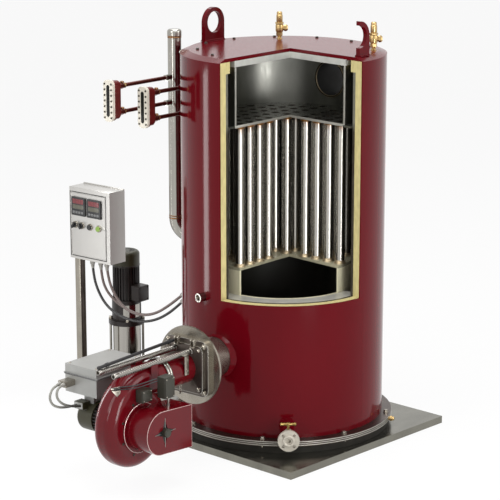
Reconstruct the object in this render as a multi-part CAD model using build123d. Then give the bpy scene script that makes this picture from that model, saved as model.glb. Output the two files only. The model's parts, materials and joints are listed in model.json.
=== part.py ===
from build123d import *
import math
import os

# Vertical fire-tube steam generator shown with one quarter cut open.
# Millimetres, +Z up. Origin: boiler axis at the underside of the base plate.
# The burner leaves the boiler along -X, the feed pump stands on the +Y side.

# Fits
SEAT_GAP = 0.3
TUBE_GAP = 0.3
PORT_GAP = 0.5
SLIDE_GAP = 0.4

# Base plate with rear tongue and pump skid, turned a little under the boiler
PLATE_MARGIN = 25
PLATE_T = 36
PLATE_TURN = -3.35
TONGUE_ROOT_W = 448
TONGUE_TIP_W = 268
TONGUE_L = 57
SKID_X0 = -325
SKID_X1 = 150
SKID_L = 647

# Foot ring and the ring flange under the shell
FOOT_W = 65
FOOT_INSET = 13
FOOT_H = 36
FLANGE_LEDGE = 48
FLANGE_H = 27
FLANGE_GROOVE = 3
FLANGE_RINGS = 3

# Shell layers, from the outside in
CASING_R = 500
CASING_T = 6
CASING_TOP_Z = 1891
INSULATION_T = 39
SHELL_T = 15
BLOCK_GAP = 34
INSULATION_BLOCK_H = 55

# The quarter cut away to show the inside
CUT_APEX_X = 26
CUT_APEX_Y = -20
CUT_LEFT_AZ = 180
CUT_RIGHT_AZ = 263.1
CUT_SILL_Z = 752

# Sheets of the casing: the seam they start from and how far each goes round
SEAM_AZ = 90
LOWER_SPAN = 180
UPPER_LEFT_SPAN = 110
UPPER_BACK_SPAN = 200

# Furnace, tube sheets and fire tubes
WATER_GAP = 84
FURNACE_T = 12
CROWN_Z = 872
CROWN_T = 14
SHEET_T = 12
TUBE_R = 21
TUBE_T = 3
TUBE_PITCH = 72
TUBE_INSET = 30
TUBE_EDGE = 27
TUBE_REAR_SET = 24
TUBE_SIDE_SET = 12
TUBE_CLEAR_X = -39

# Smokebox, top plate and lid
SMOKEBOX_GAP = 49
SMOKEBOX_H = 279
SMOKEBOX_T = 15
TOP_PLATE_T = 30
LID_INSET = 40
LID_T = 17

# Lifting lugs
LUG_INSET = 12
LUG_W = 148
LUG_H = 166
LUG_T = 22
LUG_HOLE_R = 53
LUG_HOLE_Z = 93
LUG_CUT_X = -2

# Safety valves, placed by their distance in from the lid's edge and their azimuth
VALVE_PLACES = ((107, 42), (25, -58.4))
VALVE_NECK_R = 11
VALVE_NECK_H = 34
VALVE_HEX_R = 22
VALVE_HEX_H = 26
VALVE_BONNET_R = 15
VALVE_BONNET_H = 52
VALVE_CAP_R = 10
VALVE_CAP_H = 25
VALVE_OUTLET_R = 10
VALVE_OUTLET_L = 34
VALVE_TURN = 40

# Flue outlet at the back
FLUE_RISE = 133
FLUE_R = 90
FLUE_T = 4
FLUE_L = 110
FLUE_FLANGE_R = 120
FLUE_FLANGE_T = 12

# Side water column
COLUMN_STANDOFF = 69
COLUMN_AZ = 109.3
COLUMN_R = 34
COLUMN_PROUD = 54
COLUMN_CAP_R = 36
COLUMN_CAP_H = 32
COLUMN_CAP_FILLET = 14
ELBOW_Z = 938
ELBOW_R = 90
NIPPLE_DROP = 29
NIPPLE_R = 14

# Level gauges: one is piped to the column, one to the casing
GAUGE_AZ = 122.2
GAUGE_REACH = (167, 49)
GAUGE_DROP = (212, 247)
GAUGE_PLATE_W = 62
GAUGE_PLATE_H = 200
GAUGE_PLATE_T = 16
GAUGE_PLATE_CORNER = 24
GAUGE_BODY_W = 46
GAUGE_BODY_H = 186
GAUGE_BODY_T = 44
GAUGE_BODY_CORNER = 18
GAUGE_PIPE_R = 10
GAUGE_PIPE_HALF = 63
GAUGE_COCK_R = 17
GAUGE_COCK_L = 42
GAUGE_SLOT_W = 16
GAUGE_SLOT_H = 150
GAUGE_SLOT_D = 6

# Instrument socket on the shell
SOCKET_AZ = 169.2
SOCKET_R = 22
SOCKET_BORE_R = 14
SOCKET_L = 34
SOCKET_BORE_L = 20

# Drain valve on the ring flange
DRAIN_AZ = 221.65
DRAIN_RISE = 25
DRAIN_PIPE_R = 15
DRAIN_BODY_R = 24
DRAIN_BODY_OUT = 15.5
DRAIN_FACE_OUT = 72
DRAIN_FLANGE_R = 52
DRAIN_FLANGE_T = 16
DRAIN_BORE_R = 11
DRAIN_BOLT_PCD = 75
DRAIN_BOLT_R = 7
DRAIN_BOLTS = 4
DRAIN_NECK_R = 14
DRAIN_NECK_H = 16
DRAIN_STEM_R = 7
DRAIN_STEM_GAP = 0.3
DRAIN_HANDLE_R = 9
DRAIN_HANDLE_L = 74
DRAIN_HANDLE_RISE = 26

# Burner, fixed side
BURNER_Z = 478
STUB_R = 96
STUB_T = 8
STUB_L = 192
DISC_R = 189
DISC_T = 12
SQUARE_W = 272
SQUARE_CORNER = 40
SQUARE_T = 20
HINGE_W = 234
HINGE_CHAMFER = 28
HINGE_T = 20
NECK_R = 75
NECK_T = 6
NECK_L = 180
NECK_SPLIT_GAP = 5
CLAMP_R = 83
CLAMP_L = 26
CLAMP_GAP = 1.0
CLAMP_GROOVE = 5
BAR_Y = 48
BAR_RISE = 86
BAR_R = 13
BAR_BORE_R = 8
BAR_BORE_L = 25
BAR_L = 531
ROD_R = 8
ROD_OUTER_RISE = 22
ROD_INNER_RISE = 42

# Burner, sliding side
FAN_OFFSET = 194
FAN_DROP = 189
SCROLL_R = 196
SCROLL_HALF_W = 66
SCROLL_FILLET = 52
SPIGOT_L = 25
SPIGOT_ROOT = 40
SADDLE_OFFSET = 78
SADDLE_L = 44
SADDLE_W = 34
SADDLE_TOP = -2
SADDLE_DROP = 65
INTAKE_R = 102
INTAKE_FACE_Y = -200
INTAKE_REACH = 203
INTAKE_END_DROP = 14
INTAKE_WALL = 4
INTAKE_RIM_R = 118
INTAKE_RIM_T = 5
STAR_OFFSET = 18
STAR_REACH = 64
STAR_WAIST = 23
STAR_POINTS = 4
KNOB_R = 21
KNOB_L = 22
SPOKE_W = 4
SPOKE_T = 3
SPOKE_OVERLAP = 6
MOTOR_R = 70
MOTOR_CORE_R = 60
MOTOR_L = 110
MOTOR_FINS = 28
MOTOR_FIN_W = 5
BELL_R = 74
BELL_L = 100
BELL_FILLET = 16
TALL_BOX = (62, 50, 99)
TALL_BOX_OFFSET = 90
TALL_BOX_Y = -141
TALL_BOX_FOOT_R = 6
TALL_BOX_FOOT_H = 46
TALL_BOX_FOOT_OFFSET = 16
TALL_BOX_LIFT = 140
SMALL_BOX = (64, 42, 58)
SMALL_BOX_RISE = 130
BOX_FILLET = 4
JUNCTION_BACK = 74
JUNCTION_SET = 37
JUNCTION = (300, 200, 90)
JUNCTION_RISE = 113
JUNCTION_LID_H = 45
JUNCTION_LIP = 5
JUNCTION_NECK = (70, 60)
LEAD_GLAND = (60, 52, 30)
LEAD_GLAND_ALONG = 162
LEAD_GLAND_UP = 53
LEAD_INLET = (48, 56, 34)
LEAD_INLET_ALONG = 67
LEAD_INLET_RISE = 63
LEAD_R = 6

# Feed pump on the skid
PUMP_X = 16
PUMP_STANDOFF = 578
PUMP_BASE = (210, 210, 60)
PUMP_PORT_R = 22
PUMP_PORT_L = 150
PUMP_SLEEVE_R = 74
PUMP_TOP_Z = 340
PUMP_ROD_R = 7
PUMP_ROD_PCD = 172
PUMP_RODS = 4
PUMP_FLANGE_R = 96
PUMP_FLANGE_T = 24
STOOL_R = 78
STOOL_H = 110
STOOL_WINDOW_W = 70
STOOL_WINDOW_H = 74
STOOL_FLOOR = 16
PUMP_MOTOR_R = 72
PUMP_MOTOR_CORE_R = 62
PUMP_MOTOR_H = 180
PUMP_MOTOR_FINS = 28
PUMP_FIN_W = 5
FAN_COVER_R = 73
FAN_COVER_H = 84
FAN_COVER_FILLET = 20
TERMINAL_BOX = (76, 52, 84)
TERMINAL_BOX_RISE = 4
TERMINAL_BOX_FILLET = 6

# Cabinet on its post
POST_X = -231
POST_STANDOFF = 674
POST_W = 38
POST_T = 3
CABINET_X0 = -273
CABINET_D = 113
CABINET_STANDOFF = 415
CABINET_W = 286
CABINET_Z = 734
CABINET_H = 377
CABINET_T = 3
CABINET_RIM_T = 8
DOOR_T = 5
DOOR_MARGIN = 30
DOOR_SILL = 18
DOOR_H = 334
DOOR_GAP = 5
HINGE_INSET = 2.5
HINGE_PIN_R = 2
HINGE_PIN_L = 8
HINGE_PIN_GAP = 0.08
CONTROLLER_W = 96
CONTROLLER_BODY_W = 90
CONTROLLER_BODY_GAP = 0.5
CONTROLLER_PROUD = 9
CONTROLLER_DEEP = 52
CONTROLLER_ALONG = (217, 106)
CONTROLLER_UP = 281
CONTROL_ALONG = (247, 201, 141, 79)
CONTROL_UP = 181
CONTROL_R = 14
CONTROL_RING_R = 18
CONTROL_RING_L = 4
BUTTON_L = 12
SELECTOR_L = 22
SELECTOR_W = 10
SELECTORS = 2
CABLE_R = 7
CABLE_GLAND_R = 12
SHELL_GLAND_L = 60

# Routes of the free cables: from the cabinet to the shell, as steps from the cabinet's front and
# underside and from the shell, and from the junction box to the fan motor, as steps from its axis
BLACK_CABLE_ROUTE = (
    (30, 572, -20), (30, 567, -74), (32, 549, -142), (35, 504, -213), (39, 444, -257),
    (45, 369, -280), (52, 290, -287), (56, 215, -276), (61, 149, -253), (66, 90, -219),
    (70, 35, -177), (73, -9, -137),
)
LEFT_CABLE_ROUTE = (
    (30, 513, -20), (30, 508, -79), (33, 484, -146), (45, 430, -202), (63, 362, -239),
    (69, 296, -253), (75, 230, -248), (81, 165, -224), (86, 110, -188), (91, 58, -149),
    (95, 9, -109),
)
RIGHT_CABLE_ROUTE = (
    (30, 470, -20), (31, 462, -80), (33, 436, -142), (37, 396, -196), (41, 344, -232),
    (47, 278, -246), (53, 212, -241), (59, 147, -217), (64, 92, -181), (69, 40, -142),
    (73, -9, -102),
)
OUTER_LEAD_ROUTE = (
    (-134, 136, 166), (-167, 136, 163), (-200, 133, 147), (-216, 127, 115), (-204, 120, 83),
    (-172, 109, 65), (-130, 93, 61), (-87, 79, 63),
)
INNER_LEAD_ROUTE = (
    (-134, 114, 166), (-159, 114, 163), (-181, 111, 150), (-191, 106, 126), (-182, 99, 100),
    (-159, 86, 79), (-125, 70, 67), (-87, 55, 63),
)
CORD_BEND_SHARE = 0.45

# Values worked out from the ones above
INSULATION_R = CASING_R - CASING_T
SHELL_R = INSULATION_R - INSULATION_T
SHELL_R_IN = SHELL_R - SHELL_T
FURNACE_R = SHELL_R_IN - WATER_GAP
SMOKEBOX_R = SHELL_R_IN - SMOKEBOX_GAP
INSULATION_BLOCK_R = SMOKEBOX_R + BLOCK_GAP
INSULATION_BLOCK_Z = CASING_TOP_Z - INSULATION_BLOCK_H
FLANGE_R = CASING_R + FLANGE_LEDGE
FOOT_R_OUT = FLANGE_R - FOOT_INSET
FOOT_R_IN = FOOT_R_OUT - FOOT_W
PLATE_HALF = FLANGE_R + PLATE_MARGIN
FLANGE_Z = PLATE_T + FOOT_H
SHELL_Z = FLANGE_Z + FLANGE_H
TOP_PLATE_Z = CASING_TOP_Z - TOP_PLATE_T
LID_R = CASING_R - LID_INSET
LID_TOP_Z = CASING_TOP_Z + LID_T
SHEET_TOP_Z = TOP_PLATE_Z - SMOKEBOX_H
SHEET_Z = SHEET_TOP_Z - SHEET_T
CROWN_TOP_Z = CROWN_Z + CROWN_T
FLUE_Z = SHEET_TOP_Z + FLUE_RISE
FLUE_END_X = CASING_R + FLUE_L
LUG_Y = LID_R - LUG_INSET
COLUMN_X = (CASING_R + COLUMN_STANDOFF) * math.cos(math.radians(COLUMN_AZ))
COLUMN_Y = (CASING_R + COLUMN_STANDOFF) * math.sin(math.radians(COLUMN_AZ))
COLUMN_TOP_Z = CASING_TOP_Z + COLUMN_PROUD
NIPPLE_Z = CASING_TOP_Z - NIPPLE_DROP
GAUGE_FACE_X = [-CASING_R - reach for reach in GAUGE_REACH]
GAUGE_Y = (COLUMN_Y, CASING_R * math.sin(math.radians(GAUGE_AZ)))
GAUGE_Z = [CASING_TOP_Z - drop for drop in GAUGE_DROP]
DRAIN_Z = SHELL_Z + DRAIN_RISE
DRAIN_MID = FLANGE_R + DRAIN_BODY_OUT
DRAIN_FACE = FLANGE_R + DRAIN_FACE_OUT
DISC_X = -CASING_R - STUB_L
SQUARE_X = DISC_X - DISC_T
HINGE_X = SQUARE_X - SQUARE_T
NECK_X = HINGE_X - HINGE_T
NECK_SPLIT_X = NECK_X - NECK_L
BAR_Z = BURNER_Z + BAR_RISE
BAR_END_X = NECK_X - BAR_L
FAN_X = NECK_SPLIT_X - FAN_OFFSET
FAN_Z = BURNER_Z - FAN_DROP
SCROLL_END_X = NECK_SPLIT_X - SPIGOT_L
SADDLE_X = FAN_X + SADDLE_OFFSET
STAR_X = FAN_X + STAR_OFFSET
MOTOR_Y0 = SCROLL_HALF_W
BELL_Y0 = MOTOR_Y0 + MOTOR_L
INTAKE_Y0 = -SCROLL_HALF_W
JUNCTION_X0 = FAN_X - JUNCTION_BACK
JUNCTION_Y0 = BELL_Y0 - JUNCTION_SET
JUNCTION_Z = FAN_Z + JUNCTION_RISE
JUNCTION_LID_Z = JUNCTION_Z + JUNCTION[2]
LEAD_GLAND_Y = JUNCTION_Y0 + LEAD_GLAND_ALONG
LEAD_GLAND_Z = JUNCTION_Z + LEAD_GLAND_UP
LEAD_INLET_Y = BELL_Y0 + LEAD_INLET_ALONG
LEAD_INLET_Z = FAN_Z + LEAD_INLET_RISE
PUMP_Y = CASING_R + PUMP_STANDOFF
PUMP_SLEEVE_Z = PLATE_T + PUMP_BASE[2]
STOOL_Z = PUMP_TOP_Z + PUMP_FLANGE_T
PUMP_MOTOR_Z = STOOL_Z + STOOL_H
FAN_COVER_Z = PUMP_MOTOR_Z + PUMP_MOTOR_H
TERMINAL_BOX_Z = PUMP_MOTOR_Z + TERMINAL_BOX_RISE
POST_Y = CASING_R + POST_STANDOFF
CABINET_X1 = CABINET_X0 + CABINET_D
CABINET_Y0 = CASING_R + CABINET_STANDOFF
CABINET_Y1 = CABINET_Y0 + CABINET_W
DOOR_Y0 = CABINET_Y0 + DOOR_MARGIN
DOOR_Y1 = CABINET_Y1 - CABINET_T - DOOR_GAP
DOOR_Z0 = CABINET_Z + DOOR_SILL
DOOR_Z1 = DOOR_Z0 + DOOR_H
HINGE_X_AT = CABINET_X0 + DOOR_T / 2
HINGE_Y_AT = DOOR_Y1 - HINGE_INSET
CONTROLLER_Z = CABINET_Z + CONTROLLER_UP
CONTROL_Z = CABINET_Z + CONTROL_UP
CABLE_START = Vector(CABINET_X0, CASING_R, CABINET_Z)
LEAD_START = Vector(FAN_X, BELL_Y0, FAN_Z)
BASE = (Align.CENTER, Align.CENTER, Align.MIN)
CORNER = (Align.MIN, Align.MIN, Align.MIN)


def post_at(radius, z0, z1):
    """Upright round bar on the boiler axis."""
    return Pos(0, 0, z0) * Cylinder(radius, z1 - z0, align=BASE)


def ring(r_in, r_out, z0, z1):
    """Upright ring on the boiler axis."""
    return post_at(r_out, z0, z1) - post_at(r_in, z0, z1)


def ring_sector(r_in, r_out, z0, z1, azimuth, span):
    """Part of a ring from an azimuth on."""
    section = Plane.XZ * Pos((r_in + r_out) / 2, (z0 + z1) / 2) * Rectangle(r_out - r_in, z1 - z0)
    return Rot(0, 0, azimuth) * revolve(section, Axis.Z, span)


def bar_x(radius, x0, x1, y, z):
    """Round bar along X."""
    return Pos(min(x0, x1), y, z) * Rot(0, 90, 0) * Cylinder(radius, abs(x1 - x0), align=BASE)


def bar_y(radius, y0, y1, x, z):
    """Round bar along Y."""
    return Pos(x, max(y0, y1), z) * Rot(90, 0, 0) * Cylinder(radius, abs(y1 - y0), align=BASE)


def polar(radius, azimuth):
    """Plan point at a radius and azimuth about the boiler axis."""
    angle = math.radians(azimuth)
    return radius * math.cos(angle), radius * math.sin(angle)


def block(x0, x1, y0, y1, z0, z1):
    """Box between two corners."""
    return Pos(x0, y0, z0) * Box(x1 - x0, y1 - y0, z1 - z0, align=CORNER)


def viewing_cut(z0, z1):
    """Prism of the quarter that is cut away."""
    lx, ly = polar(2 * CASING_R, CUT_LEFT_AZ)
    rx, ry = polar(2 * CASING_R, CUT_RIGHT_AZ)
    outline = Polyline(
        (CUT_APEX_X, CUT_APEX_Y),
        (CUT_APEX_X + lx, CUT_APEX_Y + ly),
        (CUT_APEX_X + lx + rx, CUT_APEX_Y + ly + ry),
        (CUT_APEX_X + rx, CUT_APEX_Y + ry),
        close=True,
    )
    return Pos(0, 0, z0) * extrude(make_face(outline), z1 - z0)


def cut_open(solid):
    """Takes the viewing quarter out of a boiler piece above the sill."""
    return solid - viewing_cut(CUT_SILL_Z, LID_TOP_Z + LUG_H)


def burner_port():
    """Hole through the shell for the burner's stub."""
    return bar_x(STUB_R + PORT_GAP, -CASING_R - STUB_R, -FURNACE_R / 2, 0, BURNER_Z)


def flue_port():
    """Hole through the shell for the flue."""
    return bar_x(FLUE_R + PORT_GAP, SMOKEBOX_R / 2, CASING_R + FLUE_R, 0, FLUE_Z)


def off_casing(solid):
    """Trims a fitting to seat on the casing."""
    return solid - post_at(CASING_R + SEAT_GAP, PLATE_T, CASING_TOP_Z)


def base_plate():
    """Square plate, its rear tongue and the pump skid in one sheet."""
    outline = Polyline(
        (-PLATE_HALF, -PLATE_HALF),
        (PLATE_HALF, -PLATE_HALF),
        (PLATE_HALF, -TONGUE_ROOT_W / 2),
        (PLATE_HALF + TONGUE_L, -TONGUE_TIP_W / 2),
        (PLATE_HALF + TONGUE_L, TONGUE_TIP_W / 2),
        (PLATE_HALF, TONGUE_ROOT_W / 2),
        (PLATE_HALF, PLATE_HALF),
        (SKID_X1, PLATE_HALF),
        (SKID_X1, PLATE_HALF + SKID_L),
        (SKID_X0, PLATE_HALF + SKID_L),
        (SKID_X0, PLATE_HALF),
        (-PLATE_HALF, PLATE_HALF),
        close=True,
    )
    return Rot(0, 0, PLATE_TURN) * extrude(make_face(outline), PLATE_T)


def foot_ring():
    return ring(FOOT_R_IN, FOOT_R_OUT, PLATE_T, FLANGE_Z)


def ring_flange():
    """Stack of bolted rings, told apart by the grooves between them, closed by the furnace floor."""
    rings = post_at(FLANGE_R, FLANGE_Z, SHELL_Z)
    for k in range(1, FLANGE_RINGS):
        level = FLANGE_Z + FLANGE_H * k / FLANGE_RINGS
        rings -= ring(FLANGE_R - FLANGE_GROOVE, FLANGE_R + FLANGE_GROOVE,
                      level - FLANGE_GROOVE / 2, level + FLANGE_GROOVE / 2)
    return rings


def casing(z0, z1, span):
    """One rolled sheet of the red casing, forward or backward from the seam."""
    return ring_sector(INSULATION_R, CASING_R, z0, z1, min(SEAM_AZ, SEAM_AZ + span), abs(span))


def casing_lower_front():
    return casing(SHELL_Z, CUT_SILL_Z, LOWER_SPAN) - burner_port()


def casing_lower_back():
    return casing(SHELL_Z, CUT_SILL_Z, -LOWER_SPAN)


def casing_upper_left():
    return cut_open(casing(CUT_SILL_Z, CASING_TOP_Z, UPPER_LEFT_SPAN))


def casing_upper_back():
    return cut_open(casing(CUT_SILL_Z, CASING_TOP_Z, -UPPER_BACK_SPAN)) - flue_port()


def insulation():
    """Mineral wool jacket with the thicker block round its top."""
    outer = INSULATION_R - SEAT_GAP
    inner = SHELL_R + SEAT_GAP
    jacket = ring(inner, outer, SHELL_Z, CASING_TOP_Z)
    block_ring = ring(INSULATION_BLOCK_R, inner, INSULATION_BLOCK_Z, CASING_TOP_Z)
    return cut_open(jacket + block_ring) - burner_port() - flue_port()


def pressure_shell():
    shell = ring(SHELL_R_IN, SHELL_R, SHELL_Z, INSULATION_BLOCK_Z)
    return cut_open(shell) - burner_port() - flue_port()


def furnace_wall():
    wall = ring(FURNACE_R - FURNACE_T, FURNACE_R, SHELL_Z, CROWN_Z)
    return cut_open(wall) - burner_port()


def tube_places():
    """Two square fields of fire tubes: behind the left cut, and beside the right one."""
    steps = range(int(2 * FURNACE_R / TUBE_PITCH) + 1)
    first = TUBE_INSET - FURNACE_R
    rear_y = CUT_APEX_Y + TUBE_REAR_SET
    side_x = CUT_APEX_X + TUBE_SIDE_SET
    places = []
    for i in steps:
        for j in steps:
            rear = (first + i * TUBE_PITCH, rear_y + j * TUBE_PITCH)
            side = (side_x + i * TUBE_PITCH, first + j * TUBE_PITCH)
            if math.hypot(rear[0] - TUBE_CLEAR_X, rear[1] - rear_y) > TUBE_R:
                places.append(rear)
            if side[1] < CUT_APEX_Y - TUBE_PITCH:
                places.append(side)
    return [(x, y) for x, y in places if math.hypot(x, y) <= FURNACE_R - TUBE_EDGE]


def tube_sheets():
    """Furnace crown and smokebox floor, drilled for the tubes."""
    crown = cut_open(post_at(FURNACE_R, CROWN_Z, CROWN_TOP_Z))
    sheet = cut_open(post_at(SMOKEBOX_R, SHEET_Z, SHEET_TOP_Z))
    hole = Cylinder(TUBE_R + TUBE_GAP, SHEET_TOP_Z, align=BASE)
    holes = [Pos(x, y, 0) * hole for x, y in tube_places()]
    return Compound([crown - holes, sheet - holes])


def fire_tubes():
    tube = Cylinder(TUBE_R, SHEET_TOP_Z - CROWN_Z, align=BASE)
    tube -= Cylinder(TUBE_R - TUBE_T, SHEET_TOP_Z - CROWN_Z, align=BASE)
    return Compound([Pos(x, y, CROWN_Z) * tube for x, y in tube_places()])


def smokebox_wall():
    wall = ring(SMOKEBOX_R - SMOKEBOX_T, SMOKEBOX_R, SHEET_TOP_Z, TOP_PLATE_Z)
    return cut_open(wall) - flue_port()


def top_plate():
    return cut_open(post_at(SMOKEBOX_R, TOP_PLATE_Z, CASING_TOP_Z))


def lid():
    """Cover with a sloping shoulder down to the casing's edge."""
    return cut_open(Pos(0, 0, CASING_TOP_Z) * Cone(CASING_R, LID_R, LID_T, align=BASE))


def lifting_lugs():
    """Two eye plates on the lid, the front one cut with the boiler."""
    shank = LUG_H - LUG_W / 2
    face = Pos(0, shank / 2) * Rectangle(LUG_W, shank) + Pos(0, shank) * Circle(LUG_W / 2)
    face -= Pos(0, LUG_HOLE_Z) * Circle(LUG_HOLE_R)
    eye = extrude(Plane.XZ * face, LUG_T / 2, both=True)
    left = Pos(0, LUG_Y, LID_TOP_Z) * eye
    right = Pos(0, -LUG_Y, LID_TOP_Z) * (eye - block(-LUG_W, LUG_CUT_X, -LUG_T, LUG_T, 0, LUG_H))
    return Compound([left, right])


def safety_valve():
    """Turned brass valve with a hexagon and a side outlet."""
    hex_z = VALVE_NECK_H
    bonnet_z = hex_z + VALVE_HEX_H
    cap_z = bonnet_z + VALVE_BONNET_H
    valve = Cylinder(VALVE_NECK_R, VALVE_NECK_H, align=BASE)
    valve += Pos(0, 0, hex_z) * extrude(RegularPolygon(VALVE_HEX_R, 6), VALVE_HEX_H)
    valve += Pos(0, 0, bonnet_z) * Cylinder(VALVE_BONNET_R, VALVE_BONNET_H, align=BASE)
    valve += Pos(0, 0, cap_z) * Cylinder(VALVE_CAP_R, VALVE_CAP_H, align=BASE)
    valve += bar_y(VALVE_OUTLET_R, -VALVE_OUTLET_L, 0, 0, hex_z + VALVE_HEX_H / 2)
    return valve


def safety_valves():
    places = [polar(LID_R - inset, azimuth) for inset, azimuth in VALVE_PLACES]
    return Compound([Pos(x, y, LID_TOP_Z) * Rot(0, 0, VALVE_TURN) * safety_valve() for x, y in places])


def flue_outlet():
    start = math.sqrt(SMOKEBOX_R ** 2 - FLUE_R ** 2) - SMOKEBOX_T
    pipe = bar_x(FLUE_R, start, FLUE_END_X, 0, FLUE_Z)
    pipe += bar_x(FLUE_FLANGE_R, FLUE_END_X - FLUE_FLANGE_T, FLUE_END_X, 0, FLUE_Z)
    return pipe - bar_x(FLUE_R - FLUE_T, start, FLUE_END_X, 0, FLUE_Z)


def water_column():
    """Standpipe that bends into the shell at its foot and taps it again near the top."""
    inward = Vector(*polar(-1, COLUMN_AZ))
    top = Vector(COLUMN_X, COLUMN_Y, COLUMN_TOP_Z)
    foot = Vector(COLUMN_X, COLUMN_Y, ELBOW_Z)
    reach = COLUMN_STANDOFF + COLUMN_R
    path = FilletPolyline(top, foot, foot + inward * reach, radius=ELBOW_R)
    pipe = sweep(Plane(origin=top, z_dir=(0, 0, -1)) * Circle(COLUMN_R), path)
    cap = Pos(COLUMN_X, COLUMN_Y, COLUMN_TOP_Z) * Cylinder(COLUMN_CAP_R, COLUMN_CAP_H, align=BASE)
    pipe += fillet(cap.faces().sort_by(Axis.Z)[-1].edges(), COLUMN_CAP_FILLET)
    nipple = Plane(origin=(COLUMN_X, COLUMN_Y, NIPPLE_Z), z_dir=inward) * Cylinder(
        NIPPLE_R, reach, align=BASE)
    return off_casing(pipe + nipple)


def gauge_pipe_ends():
    """How far back each gauge's pipes run: to the column, and to the casing."""
    return COLUMN_X - COLUMN_R - SEAT_GAP, -math.sqrt(CASING_R ** 2 - GAUGE_Y[1] ** 2) + GAUGE_PIPE_R


def gauge_pipes():
    """Four pipes with their cocks, behind the two gauge bodies."""
    pipes = []
    for face_x, y, z, end_x in zip(GAUGE_FACE_X, GAUGE_Y, GAUGE_Z, gauge_pipe_ends()):
        back_x = face_x + GAUGE_PLATE_T + GAUGE_BODY_T
        for side in (-1, 1):
            pipe_z = z + side * GAUGE_PIPE_HALF
            pipe = bar_x(GAUGE_PIPE_R, back_x, end_x, y, pipe_z)
            cock = Pos(back_x, y, pipe_z) * Rot(0, 90, 0) * extrude(
                RegularPolygon(GAUGE_COCK_R, 6), GAUGE_COCK_L)
            pipes.append(off_casing(pipe + cock))
    column = Pos(COLUMN_X, COLUMN_Y, 0) * Cylinder(COLUMN_R + SEAT_GAP, COLUMN_TOP_Z, align=BASE)
    return Compound([pipe - column for pipe in pipes])


def upright(face, x, y, z, depth):
    """Plate that faces along X, from an outline with its height first."""
    return Pos(x, y, z) * Rot(0, 90, 0) * extrude(face, depth)


def gauge_bodies():
    bodies = []
    for face_x, y, z in zip(GAUGE_FACE_X, GAUGE_Y, GAUGE_Z):
        face = RectangleRounded(GAUGE_BODY_H, GAUGE_BODY_W, GAUGE_BODY_CORNER)
        bodies.append(upright(face, face_x + GAUGE_PLATE_T, y, z, GAUGE_BODY_T))
    return Compound(bodies)


def gauge_faces():
    """Bolted cover plates with the sight slot."""
    plates = []
    for x, y, z in zip(GAUGE_FACE_X, GAUGE_Y, GAUGE_Z):
        face = RectangleRounded(GAUGE_PLATE_H, GAUGE_PLATE_W, GAUGE_PLATE_CORNER)
        plate = upright(face, x, y, z, GAUGE_PLATE_T)
        plates.append(plate - upright(SlotOverall(GAUGE_SLOT_H, GAUGE_SLOT_W), x, y, z, GAUGE_SLOT_D))
    return Compound(plates)


def radial(radius, start, length, azimuth, z):
    """Round bar pointing away from the boiler axis."""
    return Rot(0, 0, azimuth) * bar_x(radius, start, start + length, 0, z)


def instrument_socket():
    start = CASING_R - SOCKET_R
    nipple = radial(SOCKET_R, start, SOCKET_L + SOCKET_R, SOCKET_AZ, CUT_SILL_Z)
    bore_start = CASING_R + SOCKET_L - SOCKET_BORE_L
    return off_casing(nipple) - radial(SOCKET_BORE_R, bore_start, SOCKET_BORE_L, SOCKET_AZ, CUT_SILL_Z)


def drain_valve():
    """Ball valve and flange on the pipe that leaves the shell over the ring."""
    start = CASING_R - DRAIN_PIPE_R
    valve = radial(DRAIN_PIPE_R, start, DRAIN_FACE - start, DRAIN_AZ, DRAIN_Z)
    valve += Rot(0, 0, DRAIN_AZ) * Pos(DRAIN_MID, 0, DRAIN_Z) * Sphere(DRAIN_BODY_R)
    valve += radial(DRAIN_FLANGE_R, DRAIN_FACE - DRAIN_FLANGE_T, DRAIN_FLANGE_T, DRAIN_AZ, DRAIN_Z)
    neck_top = DRAIN_Z + DRAIN_BODY_R + DRAIN_NECK_H
    neck = Cylinder(DRAIN_NECK_R, neck_top - DRAIN_Z, align=BASE)
    valve += Rot(0, 0, DRAIN_AZ) * Pos(DRAIN_MID, 0, DRAIN_Z) * neck
    valve -= radial(DRAIN_BORE_R, DRAIN_FACE - DRAIN_FLANGE_T, DRAIN_FLANGE_T, DRAIN_AZ, DRAIN_Z)
    for k in range(DRAIN_BOLTS):
        dy, dz = polar(DRAIN_BOLT_PCD / 2, (k + 0.5) * 360 / DRAIN_BOLTS)
        hole = bar_x(DRAIN_BOLT_R, DRAIN_FACE - DRAIN_FLANGE_T, DRAIN_FACE, dy, DRAIN_Z + dz)
        valve -= Rot(0, 0, DRAIN_AZ) * hole
    return off_casing(valve)


def drain_handle():
    """T-handle on the valve's stem, lying across the pipe."""
    seat_z = DRAIN_Z + DRAIN_BODY_R + DRAIN_NECK_H + DRAIN_STEM_GAP
    stem = Pos(0, 0, seat_z) * Cylinder(DRAIN_STEM_R, DRAIN_HANDLE_RISE, align=BASE)
    grip = bar_y(DRAIN_HANDLE_R, -DRAIN_HANDLE_L / 2, DRAIN_HANDLE_L / 2, 0, seat_z + DRAIN_HANDLE_RISE)
    return Rot(0, 0, DRAIN_AZ) * Pos(DRAIN_MID, 0, 0) * (stem + grip)


def burner_stub():
    """Blast tube casing from the furnace to the burner's disc."""
    start = FURNACE_T - FURNACE_R
    pipe = bar_x(STUB_R, DISC_X, start, 0, BURNER_Z)
    return pipe - bar_x(STUB_R - STUB_T, DISC_X, start, 0, BURNER_Z)


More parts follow.
